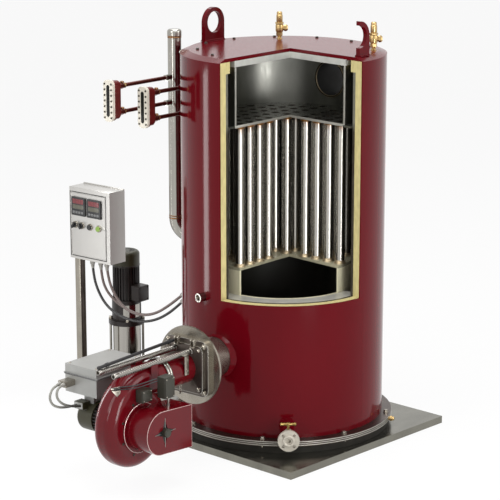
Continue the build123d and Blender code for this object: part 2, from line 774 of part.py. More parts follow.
def burner_flange():
    """Round disc, square plate and chamfered hinge plate bolted face to face."""
    disc = bar_x(DISC_R, SQUARE_X, DISC_X, 0, BURNER_Z)
    square = extrude(RectangleRounded(SQUARE_W, SQUARE_W, SQUARE_CORNER), SQUARE_T)
    hinge_face = chamfer(Rectangle(HINGE_W, HINGE_W).vertices(), HINGE_CHAMFER)
    hinge = extrude(hinge_face, HINGE_T)
    plates = Pos(HINGE_X, 0, BURNER_Z) * Rot(0, 90, 0) * square
    plates += Pos(NECK_X, 0, BURNER_Z) * Rot(0, 90, 0) * hinge
    return disc + plates - bar_x(NECK_R - NECK_T, NECK_X, DISC_X, 0, BURNER_Z)


def burner_neck():
    neck = bar_x(NECK_R, NECK_SPLIT_X, NECK_X, 0, BURNER_Z)
    return neck - bar_x(NECK_R - NECK_T, NECK_SPLIT_X, NECK_X, 0, BURNER_Z)


def clamp_ring():
    """Split clamp over the joint between neck and volute."""
    x0 = NECK_SPLIT_X - NECK_SPLIT_GAP / 2 - CLAMP_L / 2
    x1 = x0 + CLAMP_L
    middle = (x0 + x1) / 2
    clamp = bar_x(CLAMP_R, x0, x1, 0, BURNER_Z)
    clamp -= bar_x(CLAMP_R + CLAMP_GROOVE, middle - CLAMP_GROOVE / 2, middle + CLAMP_GROOVE / 2,
                   0, BURNER_Z) - bar_x(CLAMP_R - CLAMP_GROOVE, x0, x1, 0, BURNER_Z)
    return clamp - bar_x(NECK_R + CLAMP_GAP, x0, x1, 0, BURNER_Z)


def slide_bars():
    """Two bars that carry the burner when it is drawn out, and the tie rod above."""
    bars = []
    for y in (-BAR_Y, BAR_Y):
        bar = bar_x(BAR_R, BAR_END_X, NECK_X, y, BAR_Z)
        bars.append(bar - bar_x(BAR_BORE_R, BAR_END_X, BAR_END_X + BAR_BORE_L, y, BAR_Z))
    outer = Vector(BAR_END_X, BAR_Y, BAR_Z + ROD_OUTER_RISE)
    inner = Vector(HINGE_X - PORT_GAP, BAR_Y, BAR_Z + ROD_INNER_RISE)
    rod = Plane(origin=outer, z_dir=inner - outer) * Cylinder(ROD_R, (inner - outer).length, align=BASE)
    return Compound(bars + [rod])


def volute():
    """Fan scroll that rises into the neck, with the two saddles that ride the bars."""
    rise = BURNER_Z + NECK_R - FAN_Z
    sole = BURNER_Z - NECK_R - FAN_Z
    mouth = SCROLL_END_X - FAN_X
    swell = rise - SCROLL_R
    drum = bar_y(SCROLL_R, -SCROLL_HALF_W, SCROLL_HALF_W, FAN_X, FAN_Z)
    drum = fillet(drum.edges().filter_by(GeomType.CIRCLE), SCROLL_FILLET)
    face = make_face([
        Line((mouth, rise), (swell, rise)),
        CenterArc((swell, 0), rise, 90, 90),
        Line((-SCROLL_R, 0), (0, 0)),
        Line((0, 0), (0, sole)),
        Line((0, sole), (mouth, sole)),
        Line((mouth, sole), (mouth, rise)),
    ])
    horn = Pos(FAN_X, 0, FAN_Z) * extrude(Plane.XZ * face, SCROLL_HALF_W, both=True)
    level = FAN_Z + sole / 2
    rims = [e for e in horn.edges().filter_by(Axis.X) if (e @ 0).Z > level]
    horn = fillet(rims + horn.edges().filter_by(GeomType.CIRCLE), SCROLL_FILLET)
    scroll = drum + horn
    scroll += bar_x(NECK_R, SCROLL_END_X - SPIGOT_ROOT, NECK_SPLIT_X - NECK_SPLIT_GAP, 0, BURNER_Z)
    for y in (-BAR_Y, BAR_Y):
        scroll += block(SADDLE_X, SADDLE_X + SADDLE_L, y - SADDLE_W / 2, y + SADDLE_W / 2,
                        BAR_Z - SADDLE_DROP, BAR_Z + SADDLE_TOP)
        scroll -= bar_x(BAR_R + SLIDE_GAP, SADDLE_X, SADDLE_X + SADDLE_L, y, BAR_Z)
    return scroll


def intake_outline(inset):
    """Half round towards the front, square and a little lower towards the boiler."""
    radius = INTAKE_R - inset
    end_x = INTAKE_REACH - inset
    return make_face([
        CenterArc((0, 0), radius, 90, 180),
        Line((0, -radius), (end_x, -radius - INTAKE_END_DROP)),
        Line((end_x, -radius - INTAKE_END_DROP), (end_x, radius - INTAKE_END_DROP)),
        Line((end_x, radius - INTAKE_END_DROP), (0, radius)),
    ])


def star_outline():
    """Four-pointed star."""
    points = []
    for k in range(2 * STAR_POINTS):
        reach = STAR_WAIST if k % 2 else STAR_REACH
        points.append(polar(reach, k * 180 / STAR_POINTS))
    return make_face(Polyline(*points, close=True))


def fan_side(face, y0, y1):
    """Prism along Y from an outline drawn about the fan axis."""
    return Pos(FAN_X, y0, FAN_Z) * extrude(Plane.XZ * face, y0 - y1)


def intake_box():
    """Air intake housing with the star opening in its face and the rim it is bolted on by."""
    box = fan_side(intake_outline(0), INTAKE_Y0, INTAKE_FACE_Y)
    box += bar_y(INTAKE_RIM_R, INTAKE_Y0 - INTAKE_RIM_T, INTAKE_Y0, FAN_X, FAN_Z)
    box -= fan_side(intake_outline(INTAKE_WALL), INTAKE_Y0 - INTAKE_RIM_T, INTAKE_FACE_Y + INTAKE_WALL)
    star = Pos(STAR_OFFSET, 0) * star_outline()
    return box - fan_side(star, INTAKE_FACE_Y + INTAKE_WALL, INTAKE_FACE_Y)


def intake_knob():
    """Knob carried by two crossed strips over the star."""
    y0 = INTAKE_FACE_Y - SPOKE_T
    reach = STAR_REACH + SPOKE_OVERLAP
    knob = bar_y(KNOB_R, INTAKE_FACE_Y - KNOB_L, INTAKE_FACE_Y, STAR_X, FAN_Z)
    half = SPOKE_W / 2
    knob += block(STAR_X - reach, STAR_X + reach, y0, INTAKE_FACE_Y, FAN_Z - half, FAN_Z + half)
    knob += block(STAR_X - half, STAR_X + half, y0, INTAKE_FACE_Y, FAN_Z - reach, FAN_Z + reach)
    return knob


def finned_face(core_r, fin_r, fin_w, count):
    """Section of a motor frame with straight cooling fins."""
    face = Circle(core_r)
    fin = Pos((core_r + fin_r) / 2 - fin_w / 2, 0) * Rectangle(fin_r - core_r + fin_w, fin_w)
    for k in range(count):
        face += Rot(0, 0, k * 360 / count) * fin
    return face


def fan_motor():
    return fan_side(finned_face(MOTOR_CORE_R, MOTOR_R, MOTOR_FIN_W, MOTOR_FINS), BELL_Y0, MOTOR_Y0)


def motor_bell():
    """Rounded end bell with the lead inlet on its front."""
    bell = bar_y(BELL_R, BELL_Y0, BELL_Y0 + BELL_L, FAN_X, FAN_Z)
    bell = fillet(bell.faces().sort_by(Axis.Y)[-1].edges(), BELL_FILLET)
    face_x = FAN_X + OUTER_LEAD_ROUTE[-1][0]
    inlet = block(face_x, face_x + LEAD_INLET[0], LEAD_INLET_Y - LEAD_INLET[1] / 2,
                  LEAD_INLET_Y + LEAD_INLET[1] / 2, LEAD_INLET_Z - LEAD_INLET[2] / 2,
                  LEAD_INLET_Z + LEAD_INLET[2] / 2)
    return bell + inlet


def box_on(place, size):
    """Small housing with rounded upright edges."""
    body = Pos(*place) * Box(*size, align=BASE)
    return fillet(body.edges().filter_by(Axis.Z), BOX_FILLET)


def control_boxes():
    """Ignition box on a foot over the intake, and the air switch on the scroll's side."""
    tall_x = FAN_X + TALL_BOX_OFFSET
    tall_z = FAN_Z + TALL_BOX_LIFT
    tall = box_on((tall_x, TALL_BOX_Y, tall_z), TALL_BOX)
    foot = Pos(tall_x + TALL_BOX_FOOT_OFFSET, TALL_BOX_Y, tall_z - TALL_BOX_FOOT_H) * Cylinder(
        TALL_BOX_FOOT_R, TALL_BOX_FOOT_H, align=BASE)
    tall += foot - fan_side(intake_outline(0), INTAKE_Y0, INTAKE_FACE_Y)
    small = box_on((FAN_X, INTAKE_Y0 - SMALL_BOX[1] / 2, FAN_Z + SMALL_BOX_RISE), SMALL_BOX)
    return Compound([tall, small])


def junction_box():
    """Lower half of the wiring box, on the neck that stands on the motor."""
    length, width, _ = JUNCTION
    box = block(JUNCTION_X0, JUNCTION_X0 + length, JUNCTION_Y0, JUNCTION_Y0 + width,
                JUNCTION_Z, JUNCTION_LID_Z)
    middle_y = BELL_Y0 + BELL_L / 2
    neck = block(FAN_X - JUNCTION_NECK[0] / 2, FAN_X + JUNCTION_NECK[0] / 2, middle_y - JUNCTION_NECK[1] / 2,
                 middle_y + JUNCTION_NECK[1] / 2, FAN_Z + BELL_R / 2, JUNCTION_Z)
    neck -= bar_y(BELL_R + SEAT_GAP, BELL_Y0, BELL_Y0 + BELL_L, FAN_X, FAN_Z)
    return box + neck


def junction_lid():
    length, width, _ = JUNCTION
    lid_box = block(JUNCTION_X0, JUNCTION_X0 + length, JUNCTION_Y0, JUNCTION_Y0 + width,
                    JUNCTION_LID_Z, JUNCTION_LID_Z + JUNCTION_LID_H)
    lip = block(JUNCTION_X0 - JUNCTION_LIP, JUNCTION_X0 + length + JUNCTION_LIP, JUNCTION_Y0 - JUNCTION_LIP,
                JUNCTION_Y0 + width + JUNCTION_LIP, JUNCTION_LID_Z, JUNCTION_LID_Z + JUNCTION_LIP)
    return lid_box + lip


def lead_gland():
    """Twin gland on the end of the junction box."""
    length, width, height = LEAD_GLAND
    gland = block(JUNCTION_X0 - length, JUNCTION_X0, LEAD_GLAND_Y - width / 2, LEAD_GLAND_Y + width / 2,
                  LEAD_GLAND_Z - height / 2, LEAD_GLAND_Z + height / 2)
    return fillet(gland.edges().filter_by(Axis.X), BOX_FILLET)


def cord(name, start, route, radius):
    """Free cable: straight runs joined by arcs as large as the runs allow."""
    points = [start + Vector(*step) for step in route]
    radii = []
    for a, b, c in zip(points, points[1:], points[2:]):
        turn = math.radians((b - a).get_angle(c - b))
        radii.append(CORD_BEND_SHARE * min((b - a).length, (c - b).length) / math.tan(turn / 2))
    path = FilletPolyline(*points, radius=radii)
    tube = sweep(Plane(origin=points[0], z_dir=points[1] - points[0]) * Circle(radius), path)
    true_volume = math.pi * radius ** 2 * path.length
    print(f"{name}: length {path.length:.0f}, radii {[round(r) for r in radii]}, "
          f"volume ratio {tube.volume / true_volume:.4f}")
    return tube


def black_cable():
    return cord("black_cable", CABLE_START, BLACK_CABLE_ROUTE, CABLE_R)


def left_cable():
    return cord("left_cable", CABLE_START, LEFT_CABLE_ROUTE, CABLE_R)


def right_cable():
    return cord("right_cable", CABLE_START, RIGHT_CABLE_ROUTE, CABLE_R)


def outer_lead():
    return cord("outer_lead", LEAD_START, OUTER_LEAD_ROUTE, LEAD_R)


def inner_lead():
    return cord("inner_lead", LEAD_START, INNER_LEAD_ROUTE, LEAD_R)


def cable_glands():
    """Glands under the cabinet and on the shell, each in line with its cable's end."""
    glands = []
    for route in (BLACK_CABLE_ROUTE, LEFT_CABLE_ROUTE, RIGHT_CABLE_ROUTE):
        start = CABLE_START + Vector(*route[0])
        glands.append(Pos(start) * Cylinder(CABLE_GLAND_R, CABINET_Z - start.Z, align=BASE))
        end = CABLE_START + Vector(*route[-1])
        inward = Vector(*route[-1]) - Vector(*route[-2])
        glands.append(off_casing(Plane(origin=end, z_dir=inward) * Cylinder(
            CABLE_GLAND_R, SHELL_GLAND_L, align=BASE)))
    return Compound(glands)


def pump_base():
    """Foot casting with its two ports."""
    body = Pos(PUMP_X, PUMP_Y, PLATE_T) * Box(*PUMP_BASE, align=BASE)
    port_z = PLATE_T + PUMP_BASE[2] / 2
    return body + bar_x(PUMP_PORT_R, PUMP_X - PUMP_PORT_L, PUMP_X + PUMP_PORT_L, PUMP_Y, port_z)


def pump_sleeve():
    """Polished stage sleeve and the tie rods round it."""
    at = Pos(PUMP_X, PUMP_Y, PUMP_SLEEVE_Z)
    height = PUMP_TOP_Z - PUMP_SLEEVE_Z
    solids = [at * Cylinder(PUMP_SLEEVE_R, height, align=BASE)]
    for k in range(PUMP_RODS):
        x, y = polar(PUMP_ROD_PCD / 2, (k + 0.5) * 360 / PUMP_RODS)
        solids.append(at * Pos(x, y, 0) * Cylinder(PUMP_ROD_R, height, align=BASE))
    return Compound(solids)


def pump_stool():
    """Top flange and the open stool that carries the motor."""
    stool = Pos(PUMP_X, PUMP_Y, PUMP_TOP_Z) * Cylinder(PUMP_FLANGE_R, PUMP_FLANGE_T, align=BASE)
    stool += Pos(PUMP_X, PUMP_Y, STOOL_Z) * Cylinder(STOOL_R, STOOL_H, align=BASE)
    window = Box(STOOL_WINDOW_W, 2 * STOOL_R, STOOL_WINDOW_H, align=BASE)
    return stool - Pos(PUMP_X, PUMP_Y, STOOL_Z + STOOL_FLOOR) * window


def pump_motor():
    face = finned_face(PUMP_MOTOR_CORE_R, PUMP_MOTOR_R, PUMP_FIN_W, PUMP_MOTOR_FINS)
    return Pos(PUMP_X, PUMP_Y, PUMP_MOTOR_Z) * extrude(face, PUMP_MOTOR_H)


def pump_fan_cover():
    cover = Pos(PUMP_X, PUMP_Y, FAN_COVER_Z) * Cylinder(FAN_COVER_R, FAN_COVER_H, align=BASE)
    return fillet(cover.faces().sort_by(Axis.Z)[-1].edges(), FAN_COVER_FILLET)


def pump_terminal_box():
    """Terminal box on the motor's side towards the boiler."""
    width, depth, height = TERMINAL_BOX
    y1 = PUMP_Y - PUMP_MOTOR_R - SEAT_GAP
    box = block(PUMP_X - width / 2, PUMP_X + width / 2, y1 - depth, y1,
                TERMINAL_BOX_Z, TERMINAL_BOX_Z + height)
    return fillet(box.edges().filter_by(Axis.Y), TERMINAL_BOX_FILLET)


def post():
    outer = Pos(POST_X, POST_Y, PLATE_T) * Box(POST_W, POST_W, CABINET_Z - PLATE_T, align=BASE)
    inner = POST_W - 2 * POST_T
    return outer - Pos(POST_X, POST_Y, PLATE_T) * Box(inner, inner, CABINET_Z - PLATE_T, align=BASE)


def hinge_pins(radius, length):
    """Pivot pins above and below the door, on the hinge axis."""
    pin = Cylinder(radius, length, align=BASE)
    top = Pos(HINGE_X_AT, HINGE_Y_AT, DOOR_Z1) * pin
    return top + Pos(HINGE_X_AT, HINGE_Y_AT, DOOR_Z0 - length) * pin


def cabinet():
    """Sheet enclosure with a rim round the door and sockets for its pivot pins."""
    top_z = CABINET_Z + CABINET_H
    shell = block(CABINET_X0, CABINET_X1, CABINET_Y0, CABINET_Y1, CABINET_Z, top_z)
    shell -= block(CABINET_X0 + CABINET_RIM_T, CABINET_X1 - CABINET_T, CABINET_Y0 + CABINET_T,
                   CABINET_Y1 - CABINET_T, CABINET_Z + CABINET_T, top_z - CABINET_T)
    shell -= block(CABINET_X0, CABINET_X0 + CABINET_RIM_T, DOOR_Y0 - DOOR_GAP, DOOR_Y1 + DOOR_GAP,
                   DOOR_Z0 - DOOR_GAP, DOOR_Z1 + DOOR_GAP)
    return shell - hinge_pins(HINGE_PIN_R + HINGE_PIN_GAP, DOOR_GAP + HINGE_PIN_L)


def door():
    panel = block(CABINET_X0, CABINET_X0 + DOOR_T, DOOR_Y0, DOOR_Y1, DOOR_Z0, DOOR_Z1)
    half = CONTROLLER_BODY_W / 2 + CONTROLLER_BODY_GAP
    for along in CONTROLLER_ALONG:
        y = CABINET_Y0 + along
        panel -= block(CABINET_X0, CABINET_X0 + DOOR_T, y - half, y + half,
                       CONTROLLER_Z - half, CONTROLLER_Z + half)
    return panel + hinge_pins(HINGE_PIN_R, DOOR_GAP + HINGE_PIN_L)


def controllers():
    """Two panel instruments with their bezels on the door and bodies behind it."""
    units = []
    bezel = CONTROLLER_W / 2
    body = CONTROLLER_BODY_W / 2
    for along in CONTROLLER_ALONG:
        y = CABINET_Y0 + along
        unit = block(CABINET_X0 - CONTROLLER_PROUD, CABINET_X0, y - bezel, y + bezel,
                     CONTROLLER_Z - bezel, CONTROLLER_Z + bezel)
        unit += block(CABINET_X0, CABINET_X0 + CONTROLLER_DEEP, y - body, y + body,
                      CONTROLLER_Z - body, CONTROLLER_Z + body)
        units.append(unit)
    return Compound(units)


def panel_controls():
    """Two selectors and two push buttons."""
    controls = []
    face_x = CABINET_X0 - CONTROL_RING_L
    for k, along in enumerate(CONTROL_ALONG):
        y = CABINET_Y0 + along
        control = bar_x(CONTROL_RING_R, face_x, CABINET_X0, y, CONTROL_Z)
        control += bar_x(CONTROL_R, face_x - BUTTON_L, face_x, y, CONTROL_Z)
        if k < SELECTORS:
            control += block(face_x - SELECTOR_L, face_x, y - CONTROL_R, y + CONTROL_R,
                             CONTROL_Z - SELECTOR_W / 2, CONTROL_Z + SELECTOR_W / 2)
        controls.append(control)
    return Compound(controls)


PIECES = (
    base_plate, foot_ring, ring_flange, casing_lower_front, casing_lower_back, casing_upper_left,
    casing_upper_back, insulation, pressure_shell, furnace_wall, tube_sheets, fire_tubes, smokebox_wall,
    top_plate, lid, lifting_lugs, safety_valves, flue_outlet, water_column, gauge_pipes, gauge_bodies,
    gauge_faces, instrument_socket, drain_valve, drain_handle, burner_stub, burner_flange, burner_neck,
    clamp_ring, slide_bars, volute, intake_box, intake_knob, fan_motor, motor_bell, control_boxes,
    junction_box, junction_lid, lead_gland, outer_lead, inner_lead, pump_base, pump_sleeve, pump_stool,
    pump_motor, pump_fan_cover, pump_terminal_box, post, cabinet, door, controllers, panel_controls,
    cable_glands, black_cable, left_cable, right_cable,
)

os.makedirs("parts", exist_ok=True)
for piece in PIECES:
    export_step(piece(), f"parts/{piece.__name__}.step")
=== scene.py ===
import json
import math

import bmesh
import bpy
from mathutils import Matrix, Vector


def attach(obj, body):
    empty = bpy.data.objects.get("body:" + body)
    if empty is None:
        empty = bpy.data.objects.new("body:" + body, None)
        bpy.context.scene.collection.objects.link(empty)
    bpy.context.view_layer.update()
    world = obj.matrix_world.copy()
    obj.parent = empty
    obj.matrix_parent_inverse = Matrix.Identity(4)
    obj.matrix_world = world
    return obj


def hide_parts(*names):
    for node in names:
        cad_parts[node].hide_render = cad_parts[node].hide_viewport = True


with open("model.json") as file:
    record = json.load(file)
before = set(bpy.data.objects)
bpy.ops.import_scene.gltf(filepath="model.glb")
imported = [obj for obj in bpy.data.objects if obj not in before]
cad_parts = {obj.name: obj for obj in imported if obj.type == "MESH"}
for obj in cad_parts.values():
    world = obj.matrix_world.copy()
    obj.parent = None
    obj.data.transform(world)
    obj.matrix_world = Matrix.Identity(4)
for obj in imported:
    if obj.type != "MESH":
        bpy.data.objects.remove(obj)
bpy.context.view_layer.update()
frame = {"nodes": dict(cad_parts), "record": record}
NODE = frame["nodes"]
MM = 0.001
UP, DOWN = (0, 0, 1), (0, 0, -1)
PLUS_X, MINUS_X = (1, 0, 0), (-1, 0, 0)
PLUS_Y, MINUS_Y = (0, 1, 0), (0, -1, 0)
CORNERS = ((-1, -1), (-1, 1), (1, -1), (1, 1))


# Materials


def srgb(r, g, b):
    """Linear colour of an 8-bit one."""
    parts = (r / 255, g / 255, b / 255)
    return (*[c / 12.92 if c <= 0.04045 else ((c + 0.055) / 1.055) ** 2.4 for c in parts], 1.0)


def shade(color, factor):
    return (*[min(1.0, c * factor) for c in color[:3]], 1.0)


def maths(tree, operation, a, b):
    """Math node on two outputs, or on an output and a number."""
    node = tree.nodes.new("ShaderNodeMath")
    node.operation = operation
    tree.links.new(a, node.inputs[0])
    if isinstance(b, float):
        node.inputs[1].default_value = b
    else:
        tree.links.new(b, node.inputs[1])
    return node.outputs[0]


class Finish:
    """A procedural material: mottled colour, and roughness and bump from a finer grain.

    A scale is one number, or three along the axes."""

    def __init__(self, name, color, rough, metal=0.0, mottle=0.1, scale=9, grain=240,
                 spread=0.06, bump=0.05, depth=0.0003, coat=0.0, gloss=0.5):
        self.name = name
        self.mat = bpy.data.materials.new(name)
        self.mat.use_nodes = True
        self.nodes = self.mat.node_tree.nodes
        self.bsdf = self.nodes["Principled BSDF"]
        self.bsdf.inputs["Metallic"].default_value = metal
        self.bsdf.inputs["Coat Weight"].default_value = coat
        self.bsdf.inputs["Specular IOR Level"].default_value = gloss
        self.coord = self.nodes.new("ShaderNodeTexCoord")
        broad = self.noise(scale, 4)
        base = srgb(*color)
        self.color = self.ramp(broad, [(0.3, shade(base, 1 - mottle)), (0.7, shade(base, 1 + mottle))])
        fine = self.noise(grain, 3)
        self.link(self.between(fine, 0.25, 0.75, max(0.02, rough - spread), rough + spread),
                  self.bsdf.inputs["Roughness"])
        relief = self.nodes.new("ShaderNodeBump")
        relief.inputs["Strength"].default_value = bump
        relief.inputs["Distance"].default_value = depth
        self.link(fine, relief.inputs["Height"])
        self.link(relief.outputs["Normal"], self.bsdf.inputs["Normal"])
        self.link(self.color, self.bsdf.inputs["Base Color"])

    def link(self, a, b):
        self.mat.node_tree.links.new(a, b)

    def noise(self, scale, detail):
        mapping = self.nodes.new("ShaderNodeMapping")
        mapping.inputs["Scale"].default_value = scale if isinstance(scale, tuple) else (scale,) * 3
        self.link(self.coord.outputs["Object"], mapping.inputs["Vector"])
        texture = self.nodes.new("ShaderNodeTexNoise")
        texture.inputs["Scale"].default_value = 1.0
        texture.inputs["Detail"].default_value = detail
        self.link(mapping.outputs["Vector"], texture.inputs["Vector"])
        return texture.outputs["Fac"]

    def ramp(self, value, stops):
        ramp = self.nodes.new("ShaderNodeValToRGB")
        for element, (place, color) in zip(ramp.color_ramp.elements, stops):
            element.position = place
            element.color = color
        self.link(value, ramp.inputs["Fac"])
        return ramp.outputs["Color"]

    def between(self, value, low, high, start=0.0, end=1.0):
        """Goes from start to end as a value goes from low to high."""
        span = self.nodes.new("ShaderNodeMapRange")
        for name, number in (("From Min", low), ("From Max", high), ("To Min", start), ("To Max", end)):
            span.inputs[name].default_value = number
        self.link(value, span.inputs["Value"])
        return span.outputs["Result"]

    def product(self, a, b):
        return maths(self.mat.node_tree, "MULTIPLY", a, b)

    def over(self, value, low, high, color, share=1.0):
        """Lays a colour over the surface where a value lies past low, fully past high."""
        mix = self.nodes.new("ShaderNodeMix")
        mix.data_type = "RGBA"
        mix.inputs[7].default_value = color
        self.link(self.between(value, low, high, 0.0, share), mix.inputs[0])
        self.link(self.color, mix.inputs[6])
        self.color = mix.outputs[2]
        self.link(self.color, self.bsdf.inputs["Base Color"])

    def height(self, axis="Z"):
        """Place along an axis, in metres: the height unless another is named."""
        split = self.nodes.new("ShaderNodeSeparateXYZ")
        self.link(self.coord.outputs["Object"], split.inputs["Vector"])
        return split.outputs[axis]

    def radius(self):
        """Distance from the boiler axis."""
        flat = self.nodes.new("ShaderNodeVectorMath")
        flat.operation = "MULTIPLY"
        flat.inputs[1].default_value = (1, 1, 0)
        self.link(self.coord.outputs["Object"], flat.inputs[0])
        length = self.nodes.new("ShaderNodeVectorMath")
        length.operation = "LENGTH"
        self.link(flat.outputs["Vector"], length.inputs[0])
        return length.outputs["Value"]


def glow(finish, color, strength):
    finish.bsdf.inputs["Emission Color"].default_value = color
    finish.bsdf.inputs["Emission Strength"].default_value = strength
    return finish


BRUSH_UP = (260, 260, 5)
FINISH = {each.name: each for each in (
    Finish("base_steel", (124, 122, 113), 0.22, 0.95, 0.12, (5, 14, 5), (20, 160, 20), 0.04, 0.01),
    Finish("machined_steel", (158, 152, 141), 0.26, 0.95, 0.1, 14, 800, 0.03, 0.008),
    Finish("red_paint", (88, 4, 14), 0.1, 0.0, 0.07, (3, 3, 1.5), 90, 0.02, 0.006, gloss=0.13),
    Finish("burner_red", (90, 4, 14), 0.15, 0.0, 0.08, 7, 110, 0.03, 0.006, gloss=0.3),
    Finish("wool", (196, 183, 128), 0.9, 0.0, 0.12, (60, 60, 22), (900, 900, 260), 0.05, 0.7, 0.0012),
    Finish("dark_steel", (88, 86, 80), 0.4, 0.85, 0.2, (12, 12, 4), (300, 300, 30)),
    Finish("polished_steel", (164, 161, 154), 0.13, 1.0, 0.08, (40, 40, 0.5), (900, 900, 8), 0.02, 0.004),
    Finish("gauge_cast", (94, 26, 24), 0.36, 0.1, 0.15, 40, 500, 0.08, 0.1, gloss=0.3),
    Finish("cream_enamel", (206, 200, 186), 0.4, 0.0, 0.06, 30, 500),
    Finish("cast_grey", (176, 170, 158), 0.5, 0.35, 0.14, 30, 420, 0.08, 0.35),
    Finish("brass", (188, 160, 110), 0.28, 0.95, 0.14, 40, (300, 300, 900), 0.08),
    Finish("knob_grey", (52, 51, 43), 0.42, 0.2, 0.1, 25, 500, 0.08, 0.12),
    Finish("motor_black", (34, 27, 25), 0.36, 0.2, 0.15, 20, 400, 0.08, 0.15),
    Finish("motor_olive", (52, 50, 32), 0.4, 0.2, 0.12, 18, 420, 0.08, 0.15),
    Finish("light_grey", (160, 160, 157), 0.36, 0.4, 0.06, 12, 500, 0.06, 0.1),
    Finish("stainless_sheet", (196, 194, 190), 0.34, 0.95, 0.05, (5, 5, 2), (900, 900, 16), 0.07),
    Finish("instrument_black", (30, 30, 31), 0.46, 0.0, 0.15, 40, 700),
    Finish("gland_nylon", (150, 148, 142), 0.42, 0.3, 0.1, 60, 700),
    Finish("cable_black", (38, 36, 36), 0.42, 0.0, 0.12, 40, 900, 0.08, 0.15),
    Finish("cable_grey", (104, 90, 86), 0.44, 0.0, 0.1, 40, 900, 0.08, 0.15),
)}
TUBE = Finish("tube_steel", (176, 173, 166), 0.23, 1.0, 0.1, (75, 75, 0.8), (900, 900, 8), 0.03, 0.004)
TUBE.over(TUBE.height(), 1.53, 1.568, srgb(120, 78, 38), 0.8)
FURNACE = Finish("furnace_steel", (222, 216, 186), 0.4, 0.05, 0.1, (8, 8, 3), BRUSH_UP, 0.06, 0.03)
SOOT = srgb(48, 46, 40)
FURNACE.over(FURNACE.product(FURNACE.between(FURNACE.radius(), 0.3475, 0.3445),
                             FURNACE.between(FURNACE.height(), 0.873, 0.871)), 0.0, 1.0, SOOT)
SHELL_INSIDE = Finish("shell_inside", (70, 64, 56), 0.28, 0.45, 0.25, (9, 9, 3), (300, 300, 20), 0.08)
# Painted light: the inside of the shell is lighter above the tube sheet, where light falls on it through
# the cut.
SHELL_INSIDE.over(SHELL_INSIDE.height(), 1.55, 1.6, srgb(128, 127, 116))
SMOKEBOX = Finish("smokebox_steel", (126, 126, 120), 0.33, 1.0, 0.14, (14, 14, 5), (160, 160, 18), 0.06)
SHEET = Finish("tube_sheet_steel", (112, 112, 105), 0.26, 0.9, 0.2, 16, 300, 0.08)
# Painted light: below the upper sheet, the crown sheet gets a lighter, less metallic copy of this steel so
# that it reads as lit.
SHEET.over(SHEET.height(), 1.2, 1.0, srgb(172, 167, 142))
SHEET.link(SHEET.between(SHEET.height(), 1.2, 1.0, 0.9, 0.1), SHEET.bsdf.inputs["Metallic"])
# Near-black steel: real soot in the tube mouths and the flue, and painted shade on the foot ring under the
# flange.
SOOT_AND_SHADE = Finish("soot_and_shade_steel", (34, 32, 28), 0.6, 0.2, 0.25, 20, 300, 0.08, 0.2, gloss=0.2)
# Light steel for the sawn faces of the cut, and as painted highlight on the ridges of the ring flange.
CUT_AND_HIGHLIGHT_STEEL = Finish("cut_face_and_highlight_steel", (160, 158, 150), 0.4, 0.4, 0.1, 20, 300, 0.08)
# Painted shade: the ring flange is dark steel so that the grooves between its ridges read as shaded.
RING_PAINTED_SHADE = Finish("ring_painted_shade", (80, 68, 62), 0.3, 0.9, 0.2, 14, 300, 0.08)
HANDLE_BRASS = Finish("handle_brass", (148, 126, 74), 0.34, 0.9, 0.16, 40, 400, 0.08)
TOP = Finish("top_plate_steel", (200, 200, 194), 0.42, 0.4, 0.1, 20, (200, 200, 600), 0.08)
WELD = Finish("weld_gold", (150, 104, 52), 0.32, 0.9, 0.35, 70, 420, 0.1, 0.4)
WELD_LIGHT = Finish("weld_light", (164, 148, 120), 0.34, 0.8, 0.25, 70, 420, 0.1, 0.4)
WELD_BROWN = Finish("weld_brown", (128, 92, 60), 0.36, 0.8, 0.3, 60, 420, 0.1, 0.4)
RING_STEEL = Finish("ring_steel", (206, 204, 196), 0.36, 0.5, 0.1, 20, 300, 0.08)
GLASS = Finish("gauge_glass", (16, 16, 12), 0.45, 0.0, 0.2, 20, 300, 0.05, 0.01, gloss=0.15)
DARK_SCREW = Finish("dark_screw", (70, 66, 60), 0.34, 0.85, 0.2, 60, 500, 0.08)
# Painted highlight: a light pinkish steel for thin lines that stand in for the glints on the intake's
# edges.
EDGE_HIGHLIGHT = Finish("edge_highlight_paint", (206, 176, 172), 0.3, 0.5, 0.08, 30, 400, 0.08)
SEAM_GREY = Finish("seam_grey", (112, 112, 112), 0.5, 0.2, 0.12, 30, 500, 0.08, 0.1)
SCREEN_RED = glow(Finish("screen_red", (104, 50, 54), 0.3, 0.0, 0.1, 50, 500, 0.05, 0.02),
                  srgb(90, 16, 16), 0.06)
DIGIT_RED = glow(Finish("digit_red", (138, 66, 68), 0.3, 0.0, 0.05, 50, 500, 0.05, 0.02),
                 srgb(150, 40, 40), 0.06)
STRIP_GREEN = Finish("strip_green", (88, 86, 74), 0.36, 0.0, 0.1, 50, 500, 0.06, 0.05)
LID_PAINT = Finish("lid_paint", (90, 4, 15), 0.2, 0.0, 0.07, (3, 3, 1.5), 90, 0.04, 0.006, gloss=0.3)
CHROME = Finish("chrome", (152, 148, 142), 0.24, 1.0, 0.06, 30, 900, 0.02, 0.008)
MOUNT_DARK = Finish("mount_dark", (92, 84, 78), 0.32, 0.85, 0.2, 12, 300, 0.08)
GO_GREEN = Finish("go_green", (124, 158, 58), 0.3, 0.0, 0.1, 50, 500, 0.06, 0.05, coat=0.5)
GAUGE_PIPE = Finish("gauge_pipe", (104, 52, 44), 0.26, 0.8, 0.2, (20, 40, 40), 400, 0.08, 0.05)
LEAD_SHADED = Finish("lead_grey_painted_shade", (138, 137, 130), 0.44, 0.0, 0.08, 40, 900, 0.08, 0.15)
